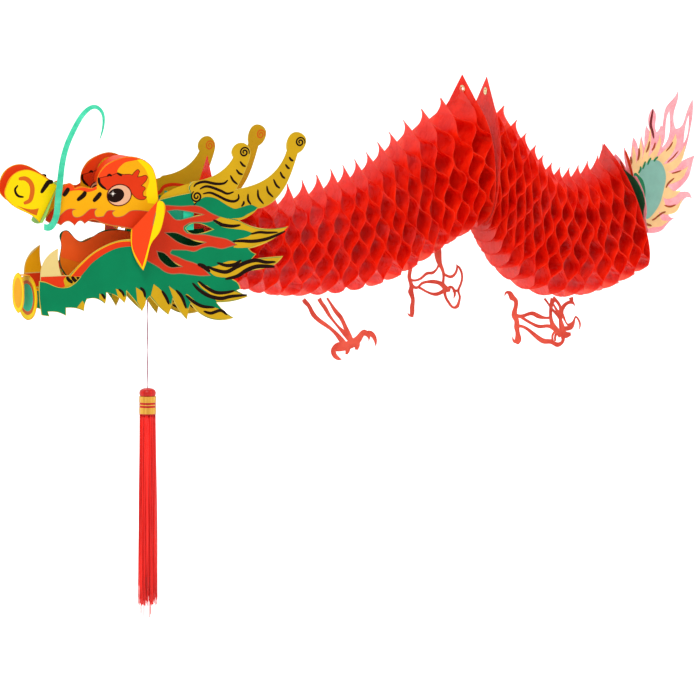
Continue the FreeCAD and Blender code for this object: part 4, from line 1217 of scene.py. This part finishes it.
def studio():
    """White surroundings, a pale floor and three suns."""
    world = bpy.data.worlds.new("studio")
    world.use_nodes = True
    background = world.node_tree.nodes["Background"]
    background.inputs["Color"].default_value = (1, 1, 1, 1)
    background.inputs["Strength"].default_value = 1.0
    bpy.context.scene.world = world

    floor_mesh = bpy.data.meshes.new("floor")
    corners = [(-1, -1), (1, -1), (1, 1), (-1, 1)]
    corners = [(x * FLOOR_REACH, y * FLOOR_REACH, FLOOR_LEVEL) for x, y in corners]
    floor_mesh.from_pydata(corners, [], [(0, 1, 2, 3)])
    floor = bpy.data.objects.new("floor", floor_mesh)
    bpy.context.scene.collection.objects.link(floor)
    floor_paint = Nodes("floor_paint")
    cloud = floor_paint.noise(0.4, 2)
    tone = floor_paint.mix(cloud, (0.93, 0.93, 0.93, 1), (0.96, 0.96, 0.96, 1))
    surface = floor_paint.add("BsdfPrincipled", {"Base Color": tone, "Roughness": 0.9})
    floor_mesh.materials.append(floor_paint.out(surface.outputs["BSDF"]))

    # Name, where it shines from, strength, and width of its disc in degrees.
    suns = [("key", (-0.55, -0.6, 1.2), 1.5, 16), ("fill", (0.9, -0.8, 0.6), 0.25, 40),
            ("rim", (0.3, 1.0, 1.0), 0.5, 30)]
    for name, towards, strength, angle in suns:
        lamp = bpy.data.lights.new(name, "SUN")
        lamp.energy = strength
        lamp.angle = math.radians(angle)
        obj = bpy.data.objects.new(name, lamp)
        obj.rotation_mode = "QUATERNION"
        obj.rotation_quaternion = Vector(towards).to_track_quat("Z", "Y")
        bpy.context.scene.collection.objects.link(obj)


def camera():
    """Long lens from the dragon's front left, a little above it."""
    a, e = math.radians(AZIMUTH), math.radians(ELEVATION)
    back = Vector((math.sin(a) * math.cos(e), -math.cos(a) * math.cos(e), math.sin(e)))
    right = Vector((math.cos(a), math.sin(a), 0))
    up = back.cross(right)
    look_at = right * LOOK_RIGHT + up * LOOK_UP
    data = bpy.data.cameras.new("camera")
    data.sensor_width = 36
    data.lens = data.sensor_width * CAMERA_DISTANCE / FRAME_WIDTH
    data.clip_end = 200
    obj = bpy.data.objects.new("camera", data)
    obj.location = look_at + back * CAMERA_DISTANCE
    obj.rotation_mode = "QUATERNION"
    obj.rotation_quaternion = (-back).to_track_quat("-Z", "Y")
    bpy.context.scene.collection.objects.link(obj)
    bpy.context.scene.camera = obj


camera()
studio()
bpy.context.scene.view_settings.view_transform = "Standard"
film_nodes()
head_cards()
tassel()
body_section("front", ("neck_board", "head", NECK_SPIKE), ("ridge_board_front", "ridge", BOARD_SPIKE),
             FRONT_LEAVES, FRONT_CURL, FRONT_SPIKE, 0)
body_section("rear", ("ridge_board_rear", "ridge_rear", BOARD_SPIKE), ("tail_board", "tail", TAIL_SPIKE),
             REAR_LEAVES, REAR_CURL, REAR_SPIKE, REAR_SEED)
tail_prints()
